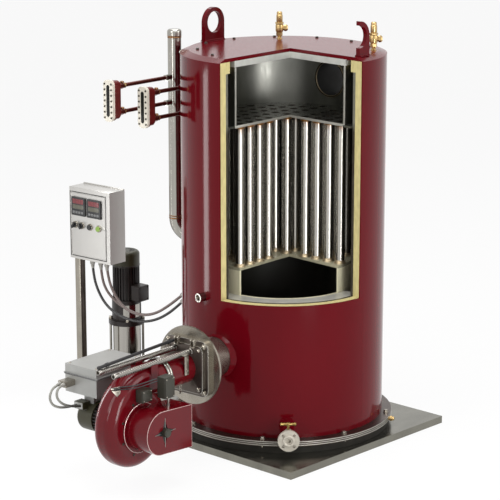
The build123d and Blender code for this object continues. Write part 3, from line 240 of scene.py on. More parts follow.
# Painted shade: the leads turn near-black along their low stretch back under the box, where shade falls.
LEAD_SHADED.over(LEAD_SHADED.product(LEAD_SHADED.between(LEAD_SHADED.height("X"), -1.305, -1.25),
                                 LEAD_SHADED.between(LEAD_SHADED.height(), 0.405, 0.375)),
               0.0, 1.0, srgb(34, 31, 27), 0.9)
SPECIAL = {
    "fire_tubes": TUBE, "furnace_wall": FURNACE, "pressure_shell": SHELL_INSIDE, "smokebox_wall": SMOKEBOX,
    "tube_sheets": SHEET, "top_plate": TOP, "gauge_pipes": GAUGE_PIPE, "lid": LID_PAINT,
    # The foot ring is darkened as painted shade under the flange.
    # The ring flange is dark as painted shade, and its ridges are light as painted highlight.
    "flue_outlet": SOOT_AND_SHADE, "ring_flange": RING_PAINTED_SHADE, "foot_ring": SOOT_AND_SHADE,
}
for row in frame["record"]["subparts"]:
    finish = SPECIAL.get(row["node"], FINISH[row["material_slot"]])
    node = NODE[row["node"]]
    if not node.material_slots:
        node.data.materials.append(finish.mat)
    for place in node.material_slots:
        place.material = finish.mat


# Pieces


def polar(radius, azimuth):
    return radius * math.cos(math.radians(azimuth)), radius * math.sin(math.radians(azimuth))


def outward(azimuth):
    return Vector((*polar(1, azimuth), 0))


def facing(axis):
    """Turns +Z to an axis."""
    return Vector(UP).rotation_difference(Vector(axis).normalized()).to_matrix().to_4x4()


def placed(name, data):
    """New object in the scene."""
    obj = bpy.data.objects.new(name, data)
    bpy.context.scene.collection.objects.link(obj)
    return obj


def skin(part, loops, closed=False):
    """Faces between loops of points, with both ends capped unless the loops run round."""
    for low, high in zip(loops, loops[1:] + loops[:1] if closed else loops[1:]):
        for k in range(len(low)):
            n = (k + 1) % len(low)
            corners = list(dict.fromkeys((low[k], low[n], high[n], high[k])))
            if len(corners) > 2:
                part.faces.new(corners)
    if not closed:
        for loop in (loops[0], loops[-1]):
            if loop[0] is not loop[1]:
                part.faces.new(loop)


class Piece:
    """Gathers simple solids, in millimetres in the row frame, into one visible piece."""

    def __init__(self):
        self.bm = bmesh.new()

    def take(self, part, matrix=None, bevel=0.0):
        """Adds a finished solid, its edges rounded off."""
        bmesh.ops.recalc_face_normals(part, faces=part.faces)
        if bevel:
            edges = [e for e in part.edges if len(e.link_faces) == 2 and e.calc_face_angle() > 0.5]
            bmesh.ops.bevel(part, geom=edges, offset=bevel, segments=2, profile=0.5, affect="EDGES")
        if matrix is not None:
            part.transform(matrix)
        mesh = bpy.data.meshes.new("part")
        part.to_mesh(mesh)
        part.free()
        self.bm.from_mesh(mesh)
        bpy.data.meshes.remove(mesh)
        return self

    def box(self, lo, hi, bevel=0.0, turn=None):
        part = bmesh.new()
        size = [b - a for a, b in zip(lo, hi)]
        middle = Vector([(a + b) / 2 for a, b in zip(lo, hi)])
        bmesh.ops.create_cube(part, size=1.0, matrix=Matrix.Diagonal((*size, 1)))
        matrix = Matrix.Translation(middle)
        return self.take(part, matrix @ turn if turn else matrix, bevel)

    def lathe(self, profile, at, axis=UP, sides=28, turn=0.0, closed=False):
        """Turned solid from (radius, height) pairs along an axis, or a ring from a closed outline."""
        part = bmesh.new()
        loops = []
        for r, h in profile:
            if r <= 0:
                loops.append([part.verts.new((0, 0, h))] * sides)
            else:
                loops.append([part.verts.new((r * math.cos(a), r * math.sin(a), h))
                              for a in [turn + 2 * math.pi * k / sides for k in range(sides)]])
        skin(part, loops, closed)
        return self.take(part, Matrix.Translation(at) @ facing(axis))

    def ring(self, outline, at, axis=UP, sides=28):
        return self.lathe(outline, at, axis, sides, closed=True)

    def prism(self, outline, at, x_dir, y_dir, lift, bevel=0.0):
        """Plate with a drawn outline, lifted off its plane."""
        part = bmesh.new()
        face = part.faces.new([part.verts.new((x, y, 0)) for x, y in outline])
        made = bmesh.ops.extrude_face_region(part, geom=[face])
        verts = [v for v in made["geom"] if isinstance(v, bmesh.types.BMVert)]
        bmesh.ops.translate(part, vec=(0, 0, lift), verts=verts)
        x, y = Vector(x_dir).normalized(), Vector(y_dir).normalized()
        frame3 = Matrix((x, y, x.cross(y))).transposed().to_4x4()
        return self.take(part, Matrix.Translation(at) @ frame3, bevel)

    def tube(self, points, radius, sides=10):
        """Bent bar or wire along points."""
        part = bmesh.new()
        points = [Vector(p) for p in points]
        loops = []
        side = None
        for i, p in enumerate(points):
            along = (points[min(i + 1, len(points) - 1)] - points[max(i - 1, 0)]).normalized()
            if side is None:
                side = along.orthogonal().normalized()
            side = (side - along * side.dot(along)).normalized()
            up = along.cross(side)
            loops.append([part.verts.new(p + radius * (side * math.cos(a) + up * math.sin(a)))
                          for a in [2 * math.pi * k / sides for k in range(sides)]])
        skin(part, loops)
        return self.take(part)

    def arc(self, r0, r1, z0, z1, a0, a1, steps, centre=(0, 0)):
        """Part of a flat or upright ring."""
        part = bmesh.new()
        loops = []
        for k in range(steps + 1):
            x, y = polar(1, a0 + (a1 - a0) * k / steps)
            loops.append([part.verts.new((centre[0] + r * x, centre[1] + r * y, z))
                          for r, z in ((r0, z0), (r1, z0), (r1, z1), (r0, z1))])
        skin(part, loops)
        return self.take(part)

    def plate(self, corners, thick):
        """Flat plate over corners in space, set out towards the side they run round anticlockwise from."""
        part = bmesh.new()
        corners = [Vector(c) for c in corners]
        normal = (corners[1] - corners[0]).cross(corners[2] - corners[0]).normalized()
        skin(part, [[part.verts.new(c + normal * lift) for c in corners] for lift in (0, thick)])
        return self.take(part, None, 0.8)

    def bolt(self, at, axis, flats, height, turn=0.0):
        """Hexagon head with its chamfer, on a washer."""
        r = flats / math.sqrt(3)
        base = height * 0.22
        self.lathe([(r * 1.25, 0), (r * 1.25, base * 0.8), (r * 1.18, base)], at, axis, 20)
        self.lathe([(r, base), (r, base + height * 0.85), (r * 0.86, base + height)], at, axis, 6, turn)

    def show(self, name, finish, body="root", slot=None, replaces=(), angle=38):
        bmesh.ops.remove_doubles(self.bm, verts=self.bm.verts, dist=0.001)
        bmesh.ops.scale(self.bm, vec=(MM, MM, MM), verts=self.bm.verts)
        mesh = bpy.data.meshes.new(name)
        self.bm.to_mesh(mesh)
        self.bm.free()
        mesh.polygons.foreach_set("use_smooth", [True] * len(mesh.polygons))
        mesh.set_sharp_from_angle(angle=math.radians(angle))
        if isinstance(finish, str):
            finish = FINISH[finish]
        mesh.materials.append(finish.mat)
        obj = placed(name, mesh)
        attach(obj, body)
        if replaces:
            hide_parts(*replaces)


def pieces(count):
    return [Piece() for _ in range(count)]


def ring_line(piece, radius, thick, at, axis, sides=64):
    """Thin rounded ring lying on a face."""
    points = [polar(thick, 45 * k) for k in range(8)]
    return piece.ring([(radius + r, h) for r, h in points], at, axis, sides)


# Cords


def cord(name, points, diameter, slot, body, finish=None):
    curve = bpy.data.curves.new(name, "CURVE")
    curve.dimensions = "3D"
    spline = curve.splines.new("NURBS")
    spline.points.add(len(points) - 1)
    for point, place in zip(spline.points, points):
        point.co = (*place, 1)
    spline.order_u = 3
    spline.use_endpoint_u = True
    curve.resolution_u = 14
    curve.bevel_depth = diameter / 2
    curve.bevel_resolution = 4
    curve.use_fill_caps = True
    curve.materials.append((finish or FINISH[slot]).mat)
    obj = placed(name + "_cord", curve)
    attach(obj, body)
    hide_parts(name)


cord("black_cable", [
    (-0.243, 1.072, 0.714), (-0.243, 1.067, 0.660), (-0.241, 1.049, 0.592), (-0.238, 1.004, 0.521),
    (-0.234, 0.944, 0.477), (-0.228, 0.869, 0.454), (-0.221, 0.790, 0.447), (-0.217, 0.715, 0.458),
    (-0.212, 0.649, 0.481), (-0.207, 0.590, 0.515), (-0.203, 0.535, 0.557), (-0.200, 0.491, 0.597),
], 0.014, "cable_black", "root")
cord("left_cable", [
    (-0.243, 1.013, 0.714), (-0.243, 1.008, 0.655), (-0.240, 0.984, 0.588), (-0.228, 0.930, 0.532),
    (-0.210, 0.862, 0.495), (-0.204, 0.796, 0.481), (-0.198, 0.730, 0.486), (-0.192, 0.665, 0.510),
    (-0.187, 0.610, 0.546), (-0.182, 0.558, 0.585), (-0.178, 0.509, 0.625),
], 0.014, "cable_grey", "root")
cord("right_cable", [
    (-0.243, 0.970, 0.714), (-0.242, 0.962, 0.654), (-0.240, 0.936, 0.592), (-0.236, 0.896, 0.538),
    (-0.232, 0.844, 0.502), (-0.226, 0.778, 0.488), (-0.220, 0.712, 0.493), (-0.214, 0.647, 0.517),
    (-0.209, 0.592, 0.553), (-0.204, 0.540, 0.592), (-0.200, 0.491, 0.632),
], 0.014, "cable_grey", "root")
cord("outer_lead", [
    (-1.252, 0.312, 0.455), (-1.285, 0.312, 0.452), (-1.318, 0.309, 0.436), (-1.334, 0.303, 0.404),
    (-1.322, 0.296, 0.372), (-1.290, 0.285, 0.354), (-1.248, 0.269, 0.350), (-1.205, 0.255, 0.352),
], 0.012, "cable_grey", "burner", LEAD_SHADED)
cord("inner_lead", [
    (-1.252, 0.290, 0.455), (-1.277, 0.290, 0.452), (-1.299, 0.287, 0.439), (-1.309, 0.282, 0.415),
    (-1.300, 0.275, 0.389), (-1.277, 0.262, 0.368), (-1.243, 0.246, 0.356), (-1.205, 0.231, 0.352),
], 0.012, "cable_black", "burner", LEAD_SHADED)


# Boiler

SHELL_Z = 99
SILL_Z = 752
CROWN_TOP_Z = 886
SHEET_Z = 1570
SHEET_TOP_Z = 1582
TOP_PLATE_Z = 1861
SMOKEBOX_R = 391
SMOKEBOX_T = 15
FLANGE_R = 548
LID_TOP_Z = 1908
LID_R = 460
TUBE_R = 21
TUBE_PITCH = 72
TUBE_FIRST = -326
TUBE_REAR_Y = 4
TUBE_SIDE_X = 38
TUBE_SIDE_LAST_Y = -92
TUBE_CLEAR_X = -39
TUBE_LIMIT_R = 329
WATER_R = 439.6
CUT_APEX = (26, -20, 0)
CUT_LEFT_AZ = 180
CUT_RIGHT_AZ = 263.1
FLUE_Z = 1715
PLUG_AZ = -67
PLUG_Z = 86
SOCKET_AZ = 169.2
SOCKET_R = 500
COLUMN_AZ = 109.3
COLUMN_R = 569
GAUGE_PIPE_RISE = 63
# x of the face, y, z, and x where the pipes end
GAUGES = ((-667, 537.0, 1679, -222.6), (-549, 423.1, 1644, -262.0))


def tube_places():
    """Centres of the fire tubes, as the CAD sets them out."""
    places = []
    for i in range(10):
        for j in range(10):
            rear = (TUBE_FIRST + TUBE_PITCH * i, TUBE_REAR_Y + TUBE_PITCH * j)
            side = (TUBE_SIDE_X + TUBE_PITCH * i, TUBE_FIRST + TUBE_PITCH * j)
            if math.hypot(rear[0] - TUBE_CLEAR_X, rear[1] - TUBE_REAR_Y) > TUBE_R:
                places.append(rear)
            if side[1] < TUBE_SIDE_LAST_Y:
                places.append(side)
    return [(x, y) for x, y in places if math.hypot(x, y) <= TUBE_LIMIT_R]


def tube_welds():
    """Bead under the upper sheet, flared bead on the crown and soot in the mouth of every tube."""
    upper, lower, soot = pieces(3)
    for x, y in tube_places():
        upper.ring([(20.6, 0), (21.8, -10), (24.5, -8), (26.5, -4), (28, 0)],
                   (x, y, SHEET_Z - 0.2), sides=20)
        lower.ring([(20.6, 0), (31, 0), (29, 4), (25, 7), (24, 12), (21.6, 15)],
                   (x, y, CROWN_TOP_Z + 0.2), sides=20)
        soot.ring([(17.9, -0.5), (17.2, -0.5), (17.2, -120), (17.9, -120)], (x, y, SHEET_TOP_Z), sides=16)
    upper.show("tube_welds_upper", WELD, slot="polished_steel")
    soot.show("tube_mouth_soot", SOOT_AND_SHADE, slot="dark_steel")
    lower.show("tube_welds_lower", WELD_LIGHT, slot="polished_steel")


def water_space_ring():
    """Rings that close the water space at the sill and at the top, and the bead round the flue's mouth."""
    ring = Piece().arc(356.4, WATER_R, SILL_Z - 9, SILL_Z - 1, 172, 276, 44)
    ring.show("water_space_ring", RING_STEEL, slot="polished_steel")
    ledge = Piece().arc(SMOKEBOX_R + 0.4, WATER_R, SHEET_Z + 1, SHEET_Z + 11, 264.5, 542.2, 90)
    ledge.show("water_space_roof", SHEET, slot="polished_steel")
    rim = Piece().ring([(84, -3), (92, -3), (94, 2), (90, 5), (84, 3)], (371, 0, FLUE_Z), MINUS_X, 48)
    rim.show("flue_rim", WELD_LIGHT, slot="polished_steel")


def cut_edges():
    """Bright sawn faces of the smokebox wall and of its floor, along the viewing cut."""
    apex = Vector(CUT_APEX)
    edges = Piece()
    for azimuth, turn in ((CUT_LEFT_AZ, 1), (CUT_RIGHT_AZ, -1)):
        along = outward(azimuth)
        lean = apex.dot(along)
        outer, inner = [math.sqrt(lean ** 2 + r ** 2 - apex.length_squared) - lean
                        for r in (SMOKEBOX_R - 2, SMOKEBOX_R - SMOKEBOX_T + 3)]
        for a, b, z0, z1 in ((inner, outer, SHEET_TOP_Z, TOP_PLATE_Z), (1, outer, SHEET_Z, SHEET_TOP_Z)):
            corners = [apex + along * r + Vector((0, 0, z))
                       for r, z in ((a, z0), (b, z0), (b, z1), (a, z1))]
            edges.plate(corners[::-turn], 0.9)
    edges.show("cut_edges", CUT_AND_HIGHLIGHT_STEEL, slot="dark_steel")


def lid_fittings():
    bolts = Piece()
    for k in range(12):
        azimuth = 15 + 30 * k
        if not 183 < azimuth < 262:
            x, y = polar(416, azimuth)
            bolts.bolt((x, y, LID_TOP_Z), UP, 13, 6, turn=azimuth)
    bolts.show("lid_bolts", DARK_SCREW, slot="machined_steel")
    welds = Piece()
    for y, x0, x1 in ((448, -74, 74), (-448, -2, 74)):
        for side in (-1, 1):
            welds.prism([(0, 0), (8, 0), (0, 8)], (x0, y + 11 * side, LID_TOP_Z), (0, side, 0), UP,
                        (x1 - x0) * side)
        for k in range(int((x1 - x0) / 6)):
            for side in (-1, 1):
                welds.lathe([(0, -3), (3, -1.6), (3.6, 0), (3, 1.6), (0, 3)],
                            (x0 + 3 + 6 * k, y + 15 * side, LID_TOP_Z + 3.6), PLUS_X, 8)
    welds.show("lug_welds", "red_paint")


def ring_fittings():
    """Bolts through the ring flange, its ridges and the small plugged stub on its edge."""
    bolts = Piece()
    for k in range(8):
        azimuth = -61.5 + 45 * k
        x, y = polar(525, azimuth)
        bolts.bolt((x, y, SHELL_Z), UP, 19, 11, turn=azimuth)
        bolts.bolt((x, y, 72), DOWN, 19, 9, turn=azimuth)
    bolts.show("ring_bolts", "machined_steel")
    # Painted highlight: the ridges take a lighter steel than the flange they lie on.
    ridges = Piece()
    for z in (76.5, 85.5, 94.5):
        ring_line(ridges, FLANGE_R - 0.6, 2.3, (0, 0, z), UP, 128)
    ridges.show("ring_ridges", CUT_AND_HIGHLIGHT_STEEL, slot="machined_steel")
    stub = Piece()
    x, y = polar(FLANGE_R - 1, PLUG_AZ)
    stub.lathe([(9, -4), (9, 10), (13, 10), (13, 20), (10, 20), (10, 27), (8, 30)], (x, y, PLUG_Z),
               outward(PLUG_AZ), 16)
    stub.show("ring_plug", "brass")


def safety_valves():
    valves = Piece()
    for inset, azimuth in ((107, 42), (25, -58.4)):
        x, y = polar(LID_R - inset, azimuth)
        at = Vector((x, y, LID_TOP_Z))
        valves.lathe([(15, 0), (15, 3), (10, 4), (10, 6), (11, 7), (10, 8.5), (11, 10), (10, 11.5),
                      (11, 13), (10, 15)], at)
        valves.lathe([(15, 14), (17, 16), (17, 31), (15, 33)], at, sides=6, turn=0.4)
        valves.lathe([(14, 32), (18.5, 36), (20, 42), (20, 66), (18.5, 71), (15, 73)], at, sides=24)
        valves.lathe([(17, 72), (21, 74), (21, 82), (17, 84)], at, sides=6, turn=0.2)
        valves.lathe([(14.5, 83), (16.5, 88), (16, 117), (14, 120), (14, 131), (11, 135), (0, 136)], at,
                     sides=12)
        out = outward(-50)
        valves.lathe([(13, 10), (13, 22), (16.5, 24), (17.5, 30), (15, 38), (11, 42), (7, 42), (7, 30),
                      (0, 30)], at + Vector((0, 0, 54)), out, 6)
    valves.show("safety_valve_set", "brass", replaces=["safety_valves"], angle=30)


def socket_nut():
    out = outward(SOCKET_AZ)
    x, y = polar(SOCKET_R, SOCKET_AZ)
    nut = Piece().ring([(17, 8), (22, 10), (22, 22), (17, 24)], (x, y, SILL_Z), out, 6)
    ring_line(nut, 15.5, 2.2, (x + 33 * out[0], y + 33 * out[1], SILL_Z), out, 28)
    nut.show("socket_nut", CHROME, slot="polished_steel")
    neck = Piece().ring([(18, -4), (22, -4), (19, 4), (17.6, 9), (17, 9)], (x, y, SILL_Z), out, 28)
    neck.show("socket_weld", "red_paint")


def water_column():
    x, y = polar(COLUMN_R, COLUMN_AZ)
    rings = Piece()
    for z, width in ((1028, 4), (1040, 3), (1936, 3), (1944, 5), (1952, 3)):
        rings.ring([(33.9, -width), (34.9, -width * 0.6), (35.4, 0), (34.9, width * 0.6), (33.9, width)],
                   (x, y, z), sides=40)
    rings.show("column_welds", WELD_BROWN, slot="polished_steel")


def slot_outline(length, width, steps=10):
    """Round-ended slot, its length along the second axis."""
    r = width / 2
    points = []
    for sign in (1, -1):
        for k in range(steps + 1):
            x, y = polar(r, 180 * k / steps)
            points.append((sign * x, sign * (length / 2 - r + y)))
    return points


def rounded_outline(width, height, radius, steps=6):
    points = []
    for cx, cy, start in ((1, 1, 0), (-1, 1, 90), (-1, -1, 180), (1, -1, 270)):
        for k in range(steps + 1):
            x, y = polar(radius, start + 90 * k / steps)
            points.append((cx * (width / 2 - radius) + x, cy * (height / 2 - radius) + y))
    return points


def gauges():
    glass, screws, bodies, trims, caps, collars = pieces(6)
    face = (MINUS_Y, UP)
    for face_x, y, z, _ in GAUGES:
        glass.prism(slot_outline(149.6, 15.6), (face_x + 4.5, y, z), *face, 4, 0.4)
        glass.prism(slot_outline(154, 20), (face_x + 0.2, y, z), *face, 1.0, 0.3)
        for k in range(7):
            for side in (-1, 1):
                at = (face_x, y + side * 21.5, z - 81 + 27 * k)
                screws.lathe([(5.2, -0.5), (5.2, 1.2), (3.6, 1.4), (3.6, 4.6), (2.8, 5.4), (0, 5.4)],
                             at, MINUS_X, 10)
        bodies.prism(rounded_outline(60, 196, 23), (face_x + 27.5, y, z), *face, 11, 1.6)
        bodies.prism(rounded_outline(40, 176, 16), (face_x + 70, y, z), *face, 12, 2.5)
        for side in (-1, 1):
            pipe = (face_x + 60, y, z + GAUGE_PIPE_RISE * side)
            bodies.lathe([(17, 0), (17, 8), (13, 20), (13, 24)], pipe, PLUS_X, 20)
            trims.lathe([(11, 22), (15, 24), (15, 31), (11, 33)], pipe, PLUS_X, 6)
            trims.lathe([(11, 44), (14.5, 46), (14.5, 56), (10.6, 58)], pipe, PLUS_X, 6, turn=0.5)
            up = (face_x + 99, y, z + GAUGE_PIPE_RISE * side)
            caps.lathe([(8, 8), (8, 15), (10, 16), (10, 20), (6, 22)], up, UP, 14)
    _, y, z, end_x = GAUGES[0]
    for side in (-1, 1):
        for k in range(4):
            collars.lathe([(10, -4), (14.5, -3), (14.5, 3), (10, 4)],
                          (end_x - 4 - 10 * k, y, z + GAUGE_PIPE_RISE * side), MINUS_X, 18)
    glass.show("gauge_glass", GLASS, slot="instrument_black")
    screws.show("gauge_screws", DARK_SCREW, slot="machined_steel")
    bodies.show("gauge_covers", "gauge_cast")
    trims.show("gauge_cock_nuts", "brass")
    caps.show("gauge_cock_caps", WELD_BROWN, slot="brass")
    collars.show("gauge_unions", "polished_steel")
    flare = Piece()
    _, y, z, end_x = GAUGES[1]
    for side in (-1, 1):
        flare.lathe([(10.4, -34), (11.5, -22), (15, -12), (20, -4), (22, 6), (10, 10)],
                    (end_x, y, z + GAUGE_PIPE_RISE * side), PLUS_X, 24)
    flare.show("gauge_pipe_welds", "red_paint")


tube_welds()
water_space_ring()
cut_edges()
lid_fittings()
ring_fittings()
safety_valves()
water_column()
socket_nut()
gauges()


# Burner

DISC_X = -704
SQUARE_X = -724
HINGE_X = -744
NECK_Z = 478
VOLUTE_X = -1118
VOLUTE_Z = 289
BAR_Z = 564
BAR_Y = 48
BAR_L = 512
KNOB_X = -1100
INTAKE_Y = -200
JUNCTION_X = -1194
LEAD_Z = 455


def burner_mount():
    """Stub collar, knurled disc, faces, edges and bolts of the mounting plates, and the clevises."""
    collar = Piece()
    collar.ring([(97, 0), (112, 0), (107, 14), (101, 24), (98, 34), (97, 34)],
                (-484, 0, NECK_Z), MINUS_X, 64)
    collar.show("stub_collar", "red_paint")
    knurl = Piece()
    for k in range(150):
        y, z = polar(189, 2.4 * k)
        turn = Matrix.Rotation(math.radians(2.4 * k), 4, "X")
        knurl.box((DISC_X + 1, y - 1.6, NECK_Z + z - 2), (DISC_X + 11, y + 1.2, NECK_Z + z + 2), 0.0, turn)
    knurl.show("disc_knurl", "machined_steel")
    bolts = Piece()
    for y, z in CORNERS:
        bolts.bolt((SQUARE_X, 112 * y, NECK_Z + 112 * z), MINUS_X, 19, 12)
        bolts.bolt((HINGE_X, 94 * y, NECK_Z + 94 * z), MINUS_X, 14, 9)
    bolts.show("mount_bolts", "machined_steel")
    faces = Piece().prism(rounded_outline(266, 266, 38), (SQUARE_X, 0, NECK_Z), MINUS_Y, UP, 1.2, 0.5)
    faces.prism(rounded_outline(228, 228, 24), (HINGE_X, 0, NECK_Z), MINUS_Y, UP, 1.2, 0.5)
    faces.show("mount_plate_faces", MOUNT_DARK, slot="machined_steel")
    trim = Piece()
    for x, half, r in ((SQUARE_X, 136, 40), (HINGE_X, 117, 26)):
        outline = rounded_outline(2 * half - 3, 2 * half - 3, r)
        path = [(x, y, NECK_Z + z) for y, z in outline]
        trim.tube(path + path[:2], 1.8, 6)
    trim.show("mount_edges", "polished_steel")
    fork = Piece()
    for y, z in ((31, 590), (-68, 590)):
        for side in (-9, 9):
            fork.prism(rounded_outline(22, 40, 10), (HINGE_X - 12, y + side - 2, z + 20),
                       PLUS_X, UP, 4, 0.8)
        fork.lathe([(5, -14), (5, 14)], (HINGE_X - 12, y, z + 28), PLUS_Y, 14)
        fork.bolt((HINGE_X - 12, y - 11, z + 28), MINUS_Y, 13, 6)
        fork.box((HINGE_X - 22, y - 12, z - 4), (HINGE_X + 2, y + 12, z + 3), 1.5)
    fork.show("mount_clevises", "machined_steel")


def slide_bars():
    bars = Piece()
    for y in (-BAR_Y, BAR_Y):
        at = Vector((HINGE_X, y, BAR_Z))
        profile = [(13, 0)]
        for k in range(32):
            x = 26 + 15 * k
            profile += [(13, x), (10.6, x + 1.5), (10.6, x + 5.0), (13, x + 6.5)]
        profile += [(13, BAR_L)]
        bars.lathe([(17, 0), (17, 9), (13.4, 12)], at, MINUS_X, 6)
        bars.lathe(profile, at, MINUS_X, 24)
        bars.ring([(8, BAR_L), (13, BAR_L), (13, BAR_L + 17), (12, BAR_L + 19), (8, BAR_L + 19)],
                  at, MINUS_X, 24)
        bars.lathe([(8, BAR_L + 1), (8, BAR_L + 3), (0, BAR_L + 3)], at, MINUS_X, 24)
    bars.show("ribbed_slide_bars", CHROME, slot="polished_steel", replaces=["slide_bars"])
    rod = Piece()
    inner = Vector((-724.5, BAR_Y, 606))
    outer = Vector((-1275, BAR_Y, 586))
    along = outer - inner
    reach = along.length
    rod.lathe([(6, 0), (7.6, 4), (7.6, reach - 12), (8.6, reach - 12), (8.6, reach - 3), (6, reach)],
              inner, along, 18)
    for nut in (60, reach - 70):
        rod.lathe([(8, nut), (11, nut + 2), (11, nut + 18), (8, nut + 20)], inner, along, 6)
    rod.show("tie_rod", "instrument_black")


def neck_fittings():
    clamp = Piece()
    for x in (-915, -931):
        clamp.ring([(76, -5), (83.6, -5.6), (84.8, -3), (84.8, 3), (83.6, 5.6), (76, 5)],
                   (x, 0, NECK_Z), MINUS_X, 64)
    clamp.box((-942, -14, NECK_Z - 104), (-912, 14, NECK_Z - 82), 2)
    clamp.bolt((-927, -14, NECK_Z - 94), MINUS_Y, 13, 8)
    clamp.bolt((-927, 14, NECK_Z - 94), PLUS_Y, 13, 8)
    clamp.show("clamp_bands", "polished_steel")
    strap = Piece().prism(rounded_outline(28, 103, 6), (-815, -78, 521.5), PLUS_X, UP, 5, 1)
    strap.box((-829, -83, 560), (-801, -30, 566), 1.2)
    strap.box((-829, -84, 470), (-801, -70, 476), 1.2)
    for z in (545, 492):
        strap.bolt((-815, -83, z), MINUS_Y, 10, 5)
    strap.show("neck_strap", "machined_steel")
    pin = Piece()
    pin.lathe([(7, 0), (7, 8), (5, 10), (5, 34), (8, 36), (8, 46), (4, 50)], (-790, -20, 408), DOWN, 14)
    pin.show("neck_drain_pin", "machined_steel")


def burner_air_side():
    """Light lines round the intake as painted highlights on its rim and face edge, and its dark inner
    plate, fluted knob and spokes.
    """
    lines = Piece()
    ring_line(lines, 116.5, 1.8, (VOLUTE_X, -71.6, VOLUTE_Z), MINUS_Y, 72)
    outline = [polar(102, a) for a in range(90, 271, 6)]
    outline += [(203, -116), (203, 88)]
    path = [(VOLUTE_X + x * 0.995, -199.4, VOLUTE_Z + z * 0.995) for x, z in outline]
    lines.tube(path + path[:2], 1.5, 6)
    lines.show("intake_edge_highlights", EDGE_HIGHLIGHT, "burner", "machined_steel")
    plate = Piece()
    plate.prism(rounded_outline(140, 140, 30), (KNOB_X, INTAKE_Y + 7, VOLUTE_Z), PLUS_X, UP, 2.6, 0.6)
    for k in range(9):
        plate.box((-1164, -192.8, 235 + 13 * k), (-1036, -190, 239 + 13 * k), 0.5)
    plate.show("intake_inner_plate", "instrument_black", "burner")
    knob = Piece()
    flutes = [polar(20.2 + polar(0.9, 90 * k)[0], 5 * k) for k in range(72)]
    knob.prism(flutes, (KNOB_X, INTAKE_Y - 3.2, VOLUTE_Z), PLUS_X, UP, 17, 0.5)
    knob.lathe([(21.5, 0), (21.5, 3), (20, 3.4)], (KNOB_X, INTAKE_Y, VOLUTE_Z), MINUS_Y, 36)
    knob.lathe([(17.5, 20), (17.5, 21.6), (15, 22), (0, 21.4)], (KNOB_X, INTAKE_Y, VOLUTE_Z), MINUS_Y, 36)
    knob.show("fluted_intake_knob", "knob_grey", "burner", replaces=["intake_knob"])
    spokes = Piece()
    for turn in range(4):
        x, z = polar(1, 90 * turn)
        spokes.lathe([(1.3, 18), (1.3, 64), (1.0, 70)], (KNOB_X, INTAKE_Y - 1, VOLUTE_Z), (x, 0, z), 8)
    spokes.show("intake_spokes", "polished_steel", "burner")
    bolts = Piece()
    for k in range(8):
        x, z = polar(128, 22.5 + 45 * k)
        bolts.bolt((VOLUTE_X + x, -66, VOLUTE_Z + z), MINUS_Y, 9, 5)
    for k in range(6):
        x, z = polar(92, 30 + 60 * k)
        bolts.bolt((VOLUTE_X + x, 66, VOLUTE_Z + z), PLUS_Y, 11, 7)
    bolts.show("scroll_bolts", DARK_SCREW, "burner", "machined_steel")


def burner_boxes():
    lids, screws = pieces(2)
    for x, z, wide, tall, y in ((-1028, 478.5, 60, 97, -166), (-1118, 448, 62, 56, -108)):
        lids.prism(rounded_outline(wide, tall, 5), (x, y, z), PLUS_X, UP, 4, 1.0)
        for sx, sz in CORNERS:
            screws.lathe([(3.4, 0), (3.4, 1.4), (2.4, 2), (0, 2)],
                         (x + sx * (wide / 2 - 7), y - 4, z + sz * (tall / 2 - 7)), MINUS_Y, 10)
    lids.show("control_box_lids", "knob_grey", "burner")
    screws.show("control_box_screws", "machined_steel", "burner")
    foot = Piece()
    foot.lathe([(7.5, 0), (7.5, 8), (6.3, 9), (6.3, 30), (9, 31), (9, 46)], (-1012, -141, 384), UP, 16)
    foot.show("control_box_foot", "polished_steel", "burner")
    bracket = Piece().plate([(-1243, -4, 482), (-1216, -36, 489), (-1228, -45, 474), (-1244, -40, 462)], 5)
    bracket.plate([(-1243, -2, 484), (-1216, -34, 491), (-1210, -30, 498), (-1238, 4, 491)], 4)
    bracket.show("scroll_bracket", "machined_steel", "burner")
    wire = Piece()
    wire.tube([(-1238, 2, 492), (-1232, -14, 492), (-1214, -34, 498), (-1186, -60, 500), (-1150, -76, 500),
               (-1100, -94, 508), (-1066, -112, 516), (-1050, -122, 518)], 3.2, 8)
    wire.tube([(-1240, -2, 486), (-1234, -18, 486), (-1214, -40, 489), (-1186, -66, 490), (-1150, -82, 490),
               (-1100, -102, 499), (-1066, -118, 507), (-1050, -126, 508)], 2.6, 8)
    wire.show("ignition_wires", "instrument_black", "burner")


def fan_motor_end():
    bell = Piece()
    for r in (24, 36, 48):
        ring_line(bell, r, 2.0, (VOLUTE_X, 276, VOLUTE_Z), PLUS_Y, 40)
    for k in range(4):
        x, z = polar(54, 45 + 90 * k)
        bell.bolt((VOLUTE_X + x, 275, VOLUTE_Z + z), PLUS_Y, 8, 4)
    bell.ring([(74, 0), (75.6, 1), (75.6, 9), (74, 10)], (VOLUTE_X, 176, VOLUTE_Z), PLUS_Y, 64)
    bell.show("bell_trim", "motor_olive", "burner")
    inlet = Piece().prism(rounded_outline(52, 30, 4), (-1181, 243, 335), PLUS_Y, PLUS_X, 3, 0.8)
    inlet.box((-1206.5, 218, 337), (-1204, 268, 367), 0.8)
    inlet.show("lead_inlet_plate", "light_grey", "burner")


